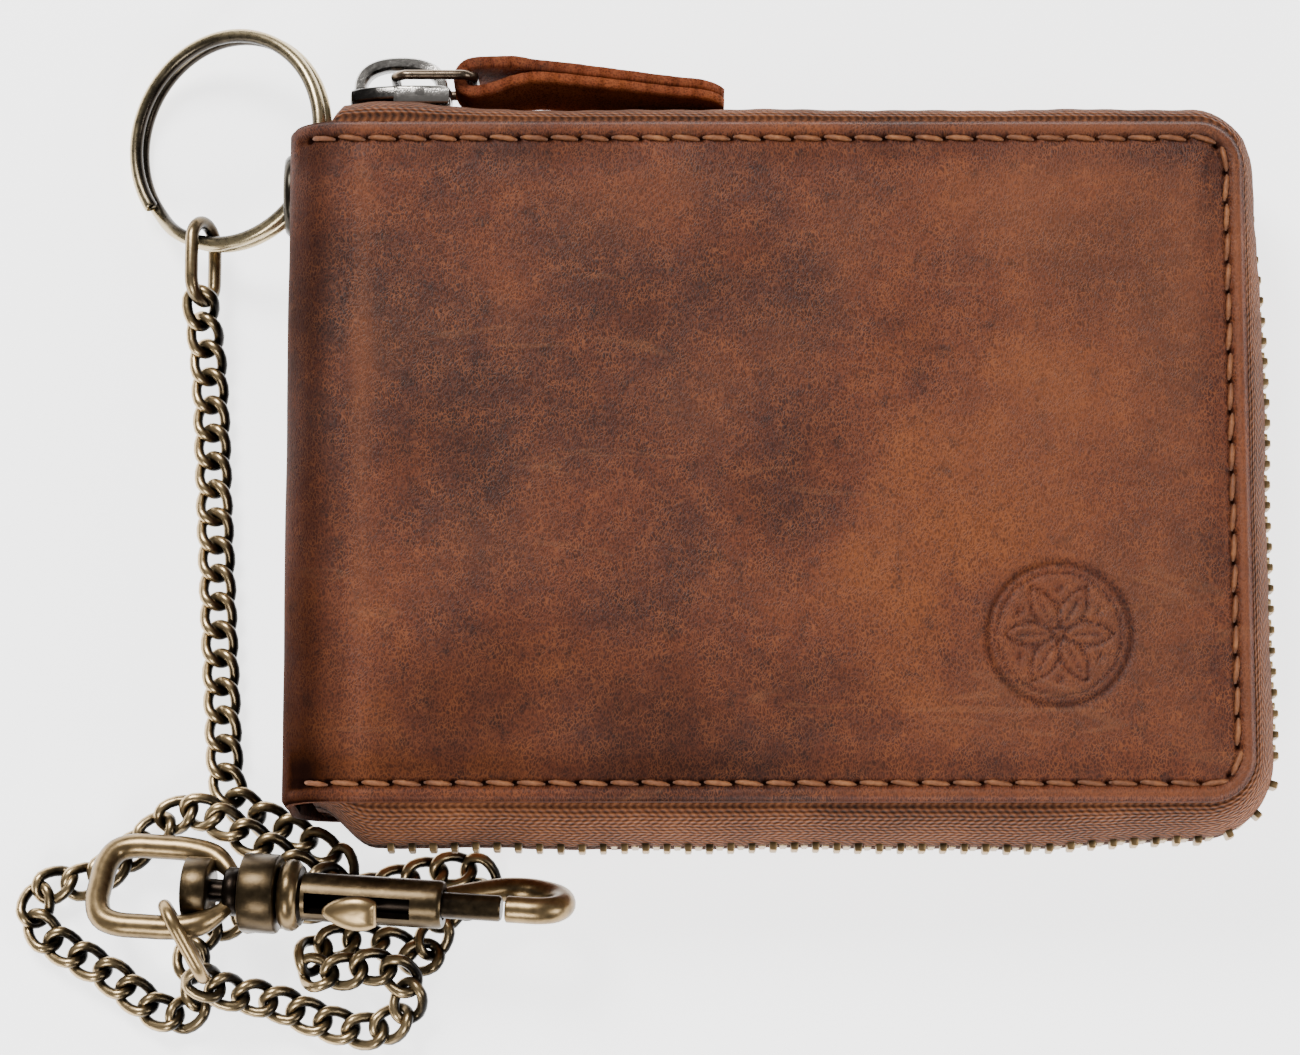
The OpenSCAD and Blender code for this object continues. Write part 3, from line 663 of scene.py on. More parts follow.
# ---------------------------------------------------------------- key ring and eyelet
C = np.array([-71.5, 46.6, 7.5])
UX = np.array([math.cos(tilt), 0, math.sin(tilt)])
deg = np.arange(-117, -117 + 693, 4.0)
off = np.where(deg < 215, -0.84, np.where(deg > 243, 0.84, -0.84 + 1.68 * smooth01((deg - 215) / 28)))
a = np.radians(deg)
p = C + 14.3 * (np.cos(a)[:, None] * UX + np.sin(a)[:, None] * np.array([0, 1.0, 0])) + off[:, None] * RN
v, f = ended(p, 0.92, 14, up=RN, round_=0.2)
# painted light: each wire brighter on its outer side, painted shade on its inner side
kc = (v - C) - np.outer((v - C) @ RN, RN)
key = Soup().add(v, f, att=(np.linalg.norm(kc, axis=1) - 14.2) * 0.62).make("split_ring", M_RING,
        "key_ring", "ring_metal")
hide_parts("key_ring")

EC = np.array([XL, 37.7, 12.2])
prof = [(1.9, 4.0), (0.4, 4.0), (-0.3, 4.1), (-0.75, 4.3), (-1.0, 4.65), (-0.95, 4.95), (-0.6, 5.35),
        (-0.15, 5.55), (0.1, 5.5), (0.1, 4.45), (1.9, 4.45), (1.9, 4.0)]
v, f = lathe(prof, EC, (1, 0, 0), (0, 0, 1), 56)
ey = Soup().add(v, f, att=np.repeat([-0.5, -0.4, -0.3, -0.1, 0.15, 0.1, -0.1, -0.2, -0.4, -0.4, -0.4, -0.4],
                                    56)).make("spine_eyelet", M_EYELET, "spine", "eyelet_metal", auto=40)
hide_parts("eyelet")
wash = [(1.62, 4.5), (1.62, 4.95), (1.78, 5.05), (1.95, 4.95), (1.98, 4.7), (1.95, 4.5), (1.62, 4.5)]
v, f = lathe(wash, EC, (1, 0, 0), (0, 0, 1), 48)
wa = Soup().add(v, f).make("eyelet_inner_washer", M_EYELET, "spine", "eyelet_metal", auto=40)
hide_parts("eyelet_washer")


# ---------------------------------------------------------------- leather covers
def edge_dist(x, y):
    """How far inside the cover's outline a point is; the spine side has no edge."""
    ax, ay = x - (XR - CR), np.abs(y) - (YH - CR)
    corner = np.hypot(np.maximum(ax, 0), np.maximum(ay, 0))
    return (CR - np.where((ax > 0) | (ay > 0), np.where((ax > 0) & (ay > 0), corner, np.maximum(ax, ay)),
                          np.maximum(ax, ay)))


def stitch_s(x, y):
    """Length along the stitch line at a point near it."""
    r = CR - STITCH_IN
    L1 = XR - CR + 60
    arc = math.pi / 2 * r
    ang = np.arctan2(np.maximum(np.abs(y) - (YH - CR), 0), np.maximum(x - (XR - CR), 0) + 1e-9)
    inc = (x > XR - CR) & (np.abs(y) > YH - CR)
    top = x + 60
    right = L1 + arc + (YH - CR) - np.abs(y)
    cor = L1 + arc * (1 - ang / (math.pi / 2))
    return np.where(inc, cor, np.where(np.abs(y) > YH - CR, top, right))


L_HALF = (XR - CR + 60) + math.pi / 2 * (CR - STITCH_IN) + (YH - CR)
N_ST = int(round(2 * L_HALF / 4.0))
PITCH = 2 * L_HALF / N_ST


def rosette(x, y):
    """How deep a point is in the pressed six-petal motif."""
    dx, dy = x - 37.5, y + 23.2
    r, a = np.hypot(dx, dy), np.arctan2(dy, dx)
    ring = bell(r - 9.2, 0.42) + 0.8 * bell(r - 8.0, 0.22)
    k = np.abs((a / (math.pi / 3)) % 1 - 0.5) * 2
    wid = 1.55 * np.sin(np.clip((r - 0.7) / 6.3, 0, 1) * math.pi) ** 0.8
    across = r * np.sin((1 - k) * math.pi / 6)
    edge = bell(across - wid, 0.26) * (r < 7.2) * (r > 0.5)
    vein = 0.7 * np.exp(-(across / 0.2) ** 2) * (r < 5.6) * (r > 1.6)
    dots = np.exp(-(((r - 5.9) / 0.45) ** 2 + (r * np.sin(k * math.pi / 6) / 0.45) ** 2))
    return np.clip(ring + edge + vein + dots, 0, 1)


def thickness(x):
    return np.where(x < SPINE_ENDS_AT, SPINE_LEATHER, COVER_LEATHER)


def lumps(x, y, seed):
    """Low uneven waves, the same for the same seed."""
    r = np.random.RandomState(seed)
    h = 0
    for k in range(9):
        wl = r.uniform(9, 40)
        q = r.uniform(0, 2 * math.pi)
        h = (h + wl / 40 * np.sin((x * math.cos(q) + y * math.sin(q)) * 2 * math.pi / wl
                                  + r.uniform(0, 6.28)))
    return h / 3


xs = np.concatenate([np.arange(0, 118 - 6.4, 0.42), np.linspace(118 - 6.2, 118, 32)]) - 55.5
ys = np.concatenate([np.linspace(-YH, -YH + 6, 31), np.arange(-YH + 6.35, YH - 6.1, 0.42),
                     np.linspace(YH - 6, YH, 31)])
u_arc = np.linspace(0, math.pi / 2 * SR, 26)[:-1]
u_flat = np.linspace(0, T / 2 - SR, 12)[:-1]


def leather(front):
    """Half of the outer leather: from the spine's middle round to the cover's free edges."""
    nu, nv = len(u_flat) + len(u_arc) + len(xs), len(ys)
    U = np.concatenate([u_flat, T / 2 - SR + u_arc, T / 2 - SR + math.pi / 2 * SR + (xs + 55.5)])
    P, N = np.zeros((nu, nv, 3)), np.zeros((nu, nv, 3))
    k0, k1 = len(u_flat), len(u_flat) + len(u_arc)
    P[:k0, :, 0], P[:k0, :, 2] = XL, T / 2 + u_flat[:, None]
    N[:k0, :, 0] = -1
    th = u_arc / SR
    P[k0:k1, :, 0] = (XL + SR - SR * np.cos(th))[:, None]
    P[k0:k1, :, 2] = (T - SR + SR * np.sin(th))[:, None]
    N[k0:k1, :, 0], N[k0:k1, :, 2] = -np.cos(th)[:, None], np.sin(th)[:, None]
    P[k1:, :, 0], P[k1:, :, 2] = xs[:, None], T
    N[k1:, :, 2] = 1
    P[:, :, 1] = ys[None]
    # square corners to round ones
    ax, ay = P[k1:, :, 0] - (XR - CR), np.abs(P[k1:, :, 1]) - (YH - CR)
    inc = (ax > 0) & (ay > 0)
    r = np.maximum(ax, ay)
    t = np.where(ax >= ay, math.pi / 4 * ay / np.maximum(ax, 1e-9), math.pi / 2
                 - math.pi / 4 * ax / np.maximum(ay, 1e-9))
    X = np.where(inc, XR - CR + r * np.cos(t), P[k1:, :, 0])
    Y = np.where(inc, np.sign(P[k1:, :, 1]) * (YH - CR + r * np.sin(t)), P[k1:, :, 1])
    P[k1:, :, 0], P[k1:, :, 1] = X, Y
    # unrolled coordinates
    S = np.repeat((U - (T / 2 - SR + math.pi / 2 * SR) - 55.5)[:, None], nv, 1)
    S[k1:] = X
    D = np.where(S < XR - CR - 1, YH - np.abs(P[:, :, 1]), edge_dist(S, P[:, :, 1]))
    D[k1:] = edge_dist(X, Y)
    s = stitch_s(S, P[:, :, 1])
    keep = smooth01((S + 62.8) / 1.2)
    holes = np.cos(2 * math.pi * s / PITCH) * 0.5 + 0.5
    hole = smooth01((holes - 0.80) / 0.17)
    gx = (D - STITCH_IN) / 0.62
    groove = np.exp(-gx ** 2)
    h = -0.34 * groove * keep - 0.6 * bell(D - STITCH_IN, 0.42) * hole * keep
    h += -0.55 * smooth01((0.9 - D) / 0.9) ** 2
    h += 0.16 * bell(D - 1.1, 0.7) * keep
    h += -0.22 * bell(D - 3.3, 1.1) * keep
    panel = smooth01((D - 3.0) / 5)
    if front:
        h += 0.20 * panel * smooth01((S + 57) / 8) + 0.10 * lumps(S, P[:, :, 1], 3) * panel
        ro = rosette(S, P[:, :, 1])
        h += -0.50 * ro
        # the soft roll of the spine, with faint lengthwise creases
        crease = S + 50.4 + 0.5 * np.sin(P[:, :, 1] / 9)
        h += -0.06 * bell(S + 53.6, 0.5) - 0.05 * bell(crease, 0.6)
    else:
        ro = 0 * S
        h += -0.10 * (1 - panel)
    h = np.minimum(h, 0.0) if not front else h
    Q = P + N * h[:, :, None]
    edge_dark = 0.30 * smooth01((0.5 - D) / 0.5)
    # painted shade in the stitch groove and in the stitch holes; the cut edge darker
    wear_and_painted_light = 0.22 * groove * keep + 0.85 * bell(D - 2.35, 0.40) * hole * keep + edge_dark
    wear_and_painted_light += 0.62 * ro
    # painted shade on the spine's bend and on its far side, with a lighter band just past the bend
    wear_and_painted_light += 0.20 * bell(S + 57.5, 2.8) - 0.20 * bell(S + 52.3, 1.6) + 0.10 * bell(S + 62.5, 2.0)
    # painted highlight on the raised roll by the edge, painted shade in the dip inside it
    wear_and_painted_light += -0.20 * bell(D - 1.15, 0.6) * keep + 0.20 * bell(D - 4.2, 2.2) * keep
    wear_and_painted_light += 0.10 * lumps(S * 1.3, P[:, :, 1] * 1.3, 11)
    Yp = P[:, :, 1]
    # painted shade over the spine's rounded side; darker toward the bottom left
    wear_and_painted_light += 0.44 * smooth01((-55.5 - S) / 4.5) + 0.26 * smooth01((-14 - Yp) / 22) * smooth01((12 - S) / 30)
    # painted sheen: lighter toward the right, a little lighter toward the top
    wear_and_painted_light += -0.20 * smooth01((S - 14) / 26) - 0.05 * smooth01((Yp - 18) / 16)
    along = np.repeat((U if front else -U)[:, None], nv, 1)
    UV = np.stack([along, P[:, :, 1]], 2) / 1000
    top = Q.reshape(-1, 3)
    soup = Soup()
    if not front:
        top = top * [1, 1, -1] + [0, 0, T]
        Nn = N * [1, 1, -1]
    else:
        Nn = N
    f = grid_faces(nu, nv, flip=front)
    soup.add(top, f, att=wear_and_painted_light.ravel(), uv=UV.reshape(-1, 2))
    # edge wall and a strip of the inner face, round the three sides
    ij = ([(i, 0) for i in range(0, nu)] + [(nu - 1, j) for j in range(1, nv)]
          + [(i, nv - 1) for i in range(nu - 2, -1, -1)])
    I, J = np.array([q[0] for q in ij]), np.array([q[1] for q in ij])
    base = (P if front else P * [1, 1, -1] + [0, 0, T])[I, J]
    nrm = Nn[I, J]
    tt = thickness(S[I, J])
    cen = np.stack([np.clip(base[:, 0], -53, XR - 8), np.clip(base[:, 1], -YH + 8, YH - 8), base[:, 2]], 1)
    d = np.stack([(base - cen)[:, 0] * (base[:, 0] > XR - 7), (base - cen)[:, 1], 0 * base[:, 0]], 1)
    d /= np.maximum(np.linalg.norm(d, axis=1), 1e-9)[:, None]
    wall = [base - nrm * 0.55, base - nrm * 0.9 + d * 0.06, base - nrm * (tt - 0.5)[:, None] + d * 0.06,
            base - nrm * (tt - 0.12)[:, None] - d * 0.05,
            base - nrm * tt[:, None] - d * 0.4, base - nrm * tt[:, None] - d * 5.4]
    w = np.concatenate(wall)
    uvw = np.concatenate([UV[I, J]] * len(wall))
    uvw[:, 1] += np.repeat(np.arange(len(wall)) * 0.0006, len(ij))
    soup.add(w, grid_faces(len(wall), len(ij), flip=front),
             att=np.repeat([0.42, 0.40, 0.40, 0.45, 0.45, 0.3], len(ij)), uv=uvw)
    # inner face of the spine
    k2 = k1 + 6
    inn = (P[:k2] - N[:k2] * thickness(S[:k2])[:, :, None])
    inn = (inn if front else inn * [1, 1, -1] + [0, 0, T])[:, ::4]
    soup.add(inn.reshape(-1, 3), grid_faces(inn.shape[0], inn.shape[1], flip=not front), att=0.3,
             uv=UV[:k2, ::4].reshape(-1, 2))
    return soup


def cut_hole(soup):
    """Opens the leather at the eyelet's throat; the flange covers the ragged edge."""
    v = np.concatenate(soup.v)
    keep_f, keep_m = [], []
    near = (np.hypot(v[:, 1] - EC[1], v[:, 2] - EC[2]) < 4.5) & (v[:, 0] < -58)
    for q, m in zip(soup.f, soup.m):
        if not all(near[i] for i in q):
            keep_f.append(q)
            keep_m.append(m)
    soup.f, soup.m = keep_f, keep_m
    return soup


for side in ("front", "back"):
    s = cut_hole(leather(side == "front"))
    o = s.make(side + "_leather_skin", M_LEATHER, None, "leather")
    z0, z1 = (T - SR, T) if side == "front" else (SR, 0)
    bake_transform(o)
    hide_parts(side + "_leather", *(["spine_leather"] if side == "front" else []))


# ---------------------------------------------------------------- stitches
def on_cover(s):
    """Point and direction on the stitch line at length s from the spine's side of the top run."""
    half = s <= L_HALF
    q = s if half else 2 * L_HALF - s
    r, L1 = CR - STITCH_IN, XR - CR + 60
    arc = math.pi / 2 * r
    if q < L1:
        x, y, dx, dy = -60 + q, YH - STITCH_IN, 1, 0
    elif q < L1 + arc:
        a = math.pi / 2 - (q - L1) / r
        x, y, dx, dy = XR - CR + r * math.cos(a), YH - CR + r * math.sin(a), math.sin(a), -math.cos(a)
    else:
        x, y, dx, dy = XR - STITCH_IN, YH - CR - (q - L1 - arc), 0, -1
    if not half:
        y, dx = -y, -dx
    return x, y, dx, dy


def wrap(x, y, h):
    """Point on the outer skin for unrolled coordinates, h above it."""
    if x >= -55.5:
        return np.array([x, y, T + h])
    u = x + 55.5 + math.pi / 2 * SR
    if u > 0:
        a = u / SR
        return np.array([XL + SR - (SR + h) * math.cos(a), y, T - SR + (SR + h) * math.sin(a)])
    return np.array([XL - h, y, T - SR + u])


def stitch(soup, x, y, dx, dy, flip, k):
    L = PITCH * 0.43
    q = np.linspace(-1, 1, 9)
    sl = 0.20 + 0.06 * math.sin(k * 2.3)
    pts = []
    for t in q:
        a, b = t * L, -sl * t * 0.9
        px, py = x + dx * a - dy * b, y + dy * a + dx * b
        h = -0.16 - 0.50 * abs(t) ** 3
        w = wrap(px, py, h)
        if flip:
            w[2] = T - w[2]
        pts.append(w)
    rr = 0.35 * (1 - 0.5 * np.abs(q) ** 4) * (1 + 0.09 * np.sin(k * 1.7 + q * 9))
    v, f = tube(np.array(pts), rr, 8)
    if flip:
        v[:, 2] = np.maximum(v[:, 2], 0.03)
    # painted shade where the thread sinks into its holes
    soup.add(v, f, att=np.repeat(0.75 * np.abs(q) ** 5, 8))


for side in ("front", "back"):
    flat_s, bend_s = Soup(), Soup()
    for k in range(N_ST):
        s = (k + 0.5) * PITCH
        x, y, dx, dy = on_cover(s)
        stitch(flat_s if x > -54.5 else bend_s, x, y, dx, dy, side == "back", k)
    o = flat_s.make(side + "_saddle_stitches", M_THREAD, side + "_cover", "thread")
    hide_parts(side + "_stitches")
    o = bend_s.make(side + "_spine_stitches", M_THREAD, None, "thread")
    z0, z1 = (T - SR, T) if side == "front" else (SR, 0)
    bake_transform(o)


# ---------------------------------------------------------------- zipper
X0 = -58.6


def perimeter(s):
    """Point, outward direction and side (0 top, 1 right, 2 bottom) at length s along the cover's edge."""
    L1, L2, arc = XR - CR - X0, 2 * (YH - CR), math.pi / 2 * CR
    if s < L1:
        return np.array([X0 + s, YH]), np.array([0, 1.0]), 0
    s -= L1
    if s < arc:
        a = math.pi / 2 - s / CR
        n = np.array([math.cos(a), math.sin(a)])
        return np.array([XR - CR, YH - CR]) + CR * n, n, s / arc
    s -= arc
    if s < L2:
        return np.array([XR, YH - CR - s]), np.array([1.0, 0]), 1
    s -= L2
    if s < arc:
        a = -s / CR
        n = np.array([math.cos(a), math.sin(a)])
        return np.array([XR - CR, -YH + CR]) + CR * n, n, 1 + s / arc
    s -= arc
    return np.array([XR - CR - s, -YH]), np.array([0, -1.0]), 2


# the photo's teeth stand 2.85 to 2.93 mm apart at this scale, a little wider than these
TOOTH_PITCH = 2.75
END_GAP = -X0 - 50.8
P_LEN = 2 * (XR - CR - X0) + 2 * (YH - CR) + math.pi * CR


def swell(s):
    """Outermost distance of the tape from the cover's edge."""
    p, _, k = perimeter(s)
    x = p[0]
    if k < 1:
        full = 3.8 + 1.3 * math.exp(-((x + 49) / 7.5) ** 2) * (k == 0) - 1.1 * float(smooth01(k))
        ends = float(smooth01((x + 58.7) / 3.4))
    elif k < 2:
        q = (YH - CR - p[1]) / (2 * (YH - CR)) if k == 1 else 1.0
        full, ends = 2.7 + 0.5 * float(smooth01(q / 0.35)) + 0.2 * q + 0.2 * (k - 1), 1.0
    else:
        full, ends = 3.6 + 1.0 * float(smooth01((XR - CR - x) / 22)), float(smooth01((x + 58.6) / 8.0))
    wob = 0.10 * math.sin(s / 7.3) + 0.07 * math.sin(s / 3.1 + 1)
    return full + wob * ends, ends


SEC = [(-4.6, 22.75), (-2.0, 22.75), (-0.5, 22.70), (0.35, 22.45), (1.1, 21.6), (1.75, 20.4), (2.35, 19.0),
       (2.85, 17.6), (3.2, 16.3), (3.4, 15.2), (3.45, 14.2), (3.35, 13.5), (3.0, 13.05)]


def tape(flip):
    n = 420
    ss = np.linspace(0, P_LEN, n)
    so = np.array(SEC)
    rows = []
    for s in ss:
        p, nn, _ = perimeter(s)
        full, e = swell(s)
        k = (full + 0.5) / 3.95
        fat = 1.0 if nn[1] < 0.5 else 0.62
        bul = 3.95 * (np.maximum(so[:, 0] + 0.5, 0) / 3.95) ** fat
        d = np.where(so[:, 0] > -0.5, -0.5 + bul * k * (0.12 + 0.88 * e), so[:, 0])
        d = d - (1 - e) * 0.8 * (so[:, 0] > -0.5)
        z = so[:, 1]
        rip = 0.05 * math.sin(s * 1.1) * np.clip((so[:, 0] + 0.5) / 3, 0, 1)
        r = [np.array([*(p + nn * (dd + rr)), zz]) for dd, zz, rr in zip(d, z, rip)]
        t = 0.30
        q = [a - np.array([*(nn * t), 0.10]) for a in r]
        rows.append(r + q[::-1])
    m = len(SEC) * 2
    v = np.array(rows).reshape(-1, 3)
    dist = np.concatenate([[0], np.cumsum(np.hypot(*np.diff(so, axis=0).T))])
    vv = np.concatenate([dist, dist[::-1] + 0.3])
    uv = np.stack([np.repeat(ss, m), np.tile(vv, n)], 1) / 1000
    # painted shade where the tape tucks under the cover's edge, where it curls down to the teeth, and on
    # its back face
    tone_att = np.tile(np.concatenate([[0.5, 0.4, 0.22, 0.05, 0, 0, 0, 0, 0, 0.1, 0.35, 0.8, 0.9],
                                 [0.5] * len(SEC)]), n)
    if flip:
        v = v * [1, 1, -1] + [0, 0, T]
    soup = Soup()
    fc = grid_faces(n, m, close_v=True, flip=not flip)
    fc += [tuple(range(m)) if flip else tuple(range(m))[::-1],
           tuple(range((n - 1) * m, n * m))[::(-1 if flip else 1)]]
    return soup.add(v, fc, att=tone_att, uv=uv)


def tooth_box(soup, c, out, along, z0, z1, wide, d0, d1, tone_att):
    """One rounded tooth: a U clamped over the tape, with a nose toward the other row."""
    nz = np.array([0, 0, 1.0])
    out3, al3 = np.array([*out, 0]), np.array([*along, 0])
    mid, hd = (d0 + d1) / 2, (d1 - d0) / 2
    rise = 1 if z1 > z0 else -1
    rings = [(z0, 0.45, 0.55), (z0 + rise * 0.25, 0.80, 0.9), (z0 + rise * 0.9, 0.96, 1.0),
             (z0 + rise * 1.3, 1.0, 1.0), (z1 - rise * 0.3, 1.0, 1.0), (z1 - rise * 0.05, 0.92, 0.9),
             (z1, 0.75, 0.75)]
    sq = [(1, 0.7), (0.8, 1), (-0.8, 1), (-1, 0.7), (-1, -0.7), (-0.8, -1), (0.8, -1), (1, -0.7)]
    v = []
    for z, a, b in rings:
        for p, q in sq:
            v.append(c + out3 * (mid + hd * b * p) + al3 * (wide / 2 * a * q) + nz * z)
    m = len(sq)
    f = (grid_faces(len(rings), m, close_v=True)
         + [tuple(range(m))[::-1], tuple(range((len(rings) - 1) * m, len(rings) * m))])
    # painted light: each tooth brighter on its outward faces, painted shade on the faces toward the wallet;
    # a little random tone per tooth
    w = np.tile([0.35, 0.3, -0.35, -0.4, -0.4, -0.35, 0.3, 0.35], len(rings)) + tone_att
    soup.add(v, f, att=w)


def teeth(front):
    soup = Soup()
    n = int((P_LEN - 2 * END_GAP) / TOOTH_PITCH)
    for k in range(n):
        s = END_GAP + (k + (0.25 if front else 0.75)) * TOOTH_PITCH
        if s > P_LEN - END_GAP:
            continue
        p, nn, side = perimeter(s)
        full, _ = swell(s)
        al = np.array([-nn[1], nn[0]])
        # how far a tooth stands past the tape; the back row draws in near the snap hook
        if side < 1:
            out = -0.5
        elif side == 1:
            out = 0.65 * float(smooth01((YH - 12 - p[1]) / 18))
        elif front:
            out = 0.90
        else:
            out = 0.1 - 0.95 * float(smooth01((-18 - p[0]) / 8))
        d1 = full + out
        d0 = d1 - 1.9 if side >= 1 else max(d1 - 1.9, 1.85)
        wide = 0.96 + 0.05 * math.sin(k * 1.9)
        a, b = (11.7, 15.7) if front else (T - 11.7, T - 15.7)
        tooth_box(soup, np.array([*p, 0.0]), nn, al, a, b, wide, d0, d1, 0.12 * math.sin(k * 2.7))
    return soup


for side in ("front", "back"):
    o = tape(side == "back").make(side + "_zip_tape", M_TAPE, side + "_cover", "tape")
    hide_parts(side + "_tape")
    o = teeth(side == "front").make(side + "_zip_teeth", M_TEETH, side + "_cover", "teeth", auto=40)
    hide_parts(side + "_teeth")


# ---------------------------------------------------------------- slider, pull ring, tab
def slab(poly, z0, z1, bevel, to, steps=3):
    """A bevelled plate: poly extruded from z0 to z1, where `to` places each (x, y, z)."""
    p = np.array(poly, float)
    n = len(p)
    nxt, prv = np.roll(p, -1, 0), np.roll(p, 1, 0)
    t = nxt - prv
    nrm = np.stack([t[:, 1], -t[:, 0]], 1)
    nrm /= np.maximum(np.linalg.norm(nrm, axis=1), 1e-9)[:, None]
    turns = [math.pi / 2 * k / steps for k in range(1, steps + 1)]
    rim = [(bevel * (1 - math.cos(a)), bevel * (1 - math.sin(a))) for a in turns]
    rings = [(z0, bevel)] + [(z0 + rise, inset) for rise, inset in rim]
    rings += [(z1 - rise, inset) for rise, inset in rim[::-1]] + [(z1, bevel)]
    v = []
    for z, ins in rings:
        q = p - nrm * ins
        v += [to(a, b, z) for a, b in q]
    m = len(rings)
    f = grid_faces(m, n, close_v=True)
    f += [tuple(range(n))[::-1], tuple(range((m - 1) * n, m * n))]
    w = np.concatenate([np.full(n, 0.25 if 0 < k < m - 1 and (k < steps + 1 or k > m - steps - 2) else 0.0)
                        for k in range(m)])
    return np.array(v), f, w


def rrect(x0, x1, y0, y1, r, n=5):
    """Rounded rectangle, anticlockwise."""
    out = []
    for cx, cy, a0 in ((x1 - r, y1 - r, 0), (x0 + r, y1 - r, 90), (x0 + r, y0 + r, 180),
                       (x1 - r, y0 + r, 270)):
        for k in range(n + 1):
            a = math.radians(a0 + 90 * k / n)
            out.append((cx + r * math.cos(a), cy + r * math.sin(a)))
    return out


SX, ZM = XL + 7.5 + 6.8, 12.5
soup = Soup()
# outer plate, in its XZ plan: a heart of two lobes narrowing to the nose
plan = [(6.8, 2.0), (6.6, 3.6), (5.6, 4.7), (3.0, 4.9), (0, 4.8), (-3, 4.2), (-5.4, 3.3), (-6.6, 2.2),
        (-6.8, 0.8),
        (-6.8, -0.8), (-6.6, -2.2), (-5.4, -3.3), (-3, -4.2), (0, -4.8), (3.0, -4.9), (5.6, -4.7),
        (6.6, -3.6), (6.8, -2.0)]
flatp = lambda a, b, h: np.array([SX + a, YH + h, ZM - b])
v, f, w = slab(plan, 5.15, 6.9, 0.35, flatp)
soup.add(v, f, att=w)
for s in (-1, 1):
    lip = [(6.5, s * 3.9), (6.5, s * 4.9), (-0.8, s * 4.85), (-0.8, s * 4.0)]
    if s < 0:
        lip = lip[::-1]
    dense = []
    for i in range(4):
        a, b = np.array(lip[i]), np.array(lip[(i + 1) % 4])
        dense += [tuple(a + (b - a) * k / 4) for k in range(4)]
    v, f, w = slab(dense, 4.5, 6.6, 0.22, flatp)
    soup.add(v, f, att=w + 0.05)
v, f, w = slab([(5, 0.28), (-5, 0.28), (-5, -0.28), (5, -0.28)], 1.5, 5.4, 0.05, flatp)
soup.add(v, f, att=-0.5)
v, f, w = slab([(q[0] * 0.9, q[1] * 0.9) for q in plan], 0.3, 1.6, 0.3, flatp)
soup.add(v, f, att=w - 0.2)
# arch: a flat strap bent over the plate
k = np.linspace(0, math.pi, 41)
cx = 5.47 * np.sign(np.cos(k)) * np.abs(np.cos(k)) ** 0.85
cy = 6.8 + 4.12 * np.sin(k) ** 0.72
ctr = np.stack([cx, cy], 1)
tt = np.gradient(ctr, axis=0)
nr = np.stack([tt[:, 1], -tt[:, 0]], 1)
nr /= np.linalg.norm(nr, axis=1)[:, None]
half_w = 1.45 + 0.35 * np.abs(np.cos(k)) ** 3
ring = [(1, 0.7), (0.7, 1), (-0.7, 1), (-1, 0.7), (-1, -0.7), (-0.7, -1), (0.7, -1), (1, -0.7)]
v = []
for c, n2, hw in zip(ctr, nr, half_w):
    for a, b in ring:
        q = c + n2 * 0.78 * b
        v.append((SX + q[0], YH + q[1], ZM + hw * a))
fs = grid_faces(41, 8, close_v=True, flip=True)
# painted light: the arch brighter on its top, painted shade on its underside
soup.add(v, fs, att=np.tile([0.3, 0.25, 0.25, 0.3, 0.0, -0.2, -0.2, 0.0], 41))
# painted reflection on the plates: darker on the left, brighter on the right; the arch lifted a little
for i, q in enumerate(soup.v):
    painted_light_across = (q[:, 0] - SX) / 6.8
    soup.att[i] = soup.att[i] + np.where(q[:, 1] < YH + 6.95, 0.45 * np.clip(painted_light_across, -1, 1), 0.14)
slider = soup.make("zip_slider", M_SLIDER, "slider", "slider_metal", auto=38)
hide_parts("slider")

PX, PY, PL, PH = -48.8, 52.9, 10.4, 5.3
rp = np.array(rrect(0, PL, -PH, PH, 1.9, 6))
rp = spline(np.stack([rp[:, 0], 0 * rp[:, 0], rp[:, 1]], 1), 0.6, closed=True)
p = rp + [PX, PY, ZM]
v, f = tube(p, 0.66, 12, closed=True, up=(0, 1, 0))
pull = Soup().add(v, f, att=wire_painted_light(v, p, 12, (0.0, 0.5, 0.8), 0.4)).make("pull_ring_wire", M_PULL,
        "pull_ring", "pull_metal")
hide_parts("pull_ring")

low = [(-5.1, 50.2), (-12, 50.65), (-19, 51.4), (-26, 52.2), (-30, 52.5), (-33, 52.1), (-36, 51.3),
       (-38.6, 50.95), (-39.75, 51.45), (-40.25, 52.4)]
top = [(-40.2, 53.5), (-39.4, 54.5), (-38.2, 54.88), (-36.5, 54.9), (-33.5, 54.75), (-30, 54.15),
       (-26, 53.75), (-19, 52.85), (-12, 52.05), (-5.1, 51.5)]
cl = spline([(x, y, 0) for x, y in low + top], 0.45)
ns = len(cl)
tg = np.gradient(cl, axis=0)
tg /= np.linalg.norm(tg, axis=1)[:, None]
nr = np.stack([tg[:, 1], -tg[:, 0], 0 * tg[:, 0]], 1)
half_t = np.interp(cl[:, 0], [-41, -38, -34, -20, -5.1], [0.84, 0.84, 0.78, 0.73, 0.66])
endx = np.clip((cl[:, 0] + 9.4) / 4.5, 0, 0.985)
hw = 4.5 * np.sqrt(1 - endx ** 2)
sec = [(1.0, 0.0), (1.0, 0.62), (0.94, 0.90), (0.8, 1.0), (0.4, 1.03), (0, 1.03), (-0.4, 1.03), (-0.8, 1.0),
       (-0.94, 0.90), (-1.0, 0.62), (-1.0, 0),
       (-1.0, -0.62), (-0.94, -0.9), (-0.8, -1), (-0.4, -1), (0, -1), (0.4, -1), (0.8, -1), (0.94, -0.9),
       (1.0, -0.62)]


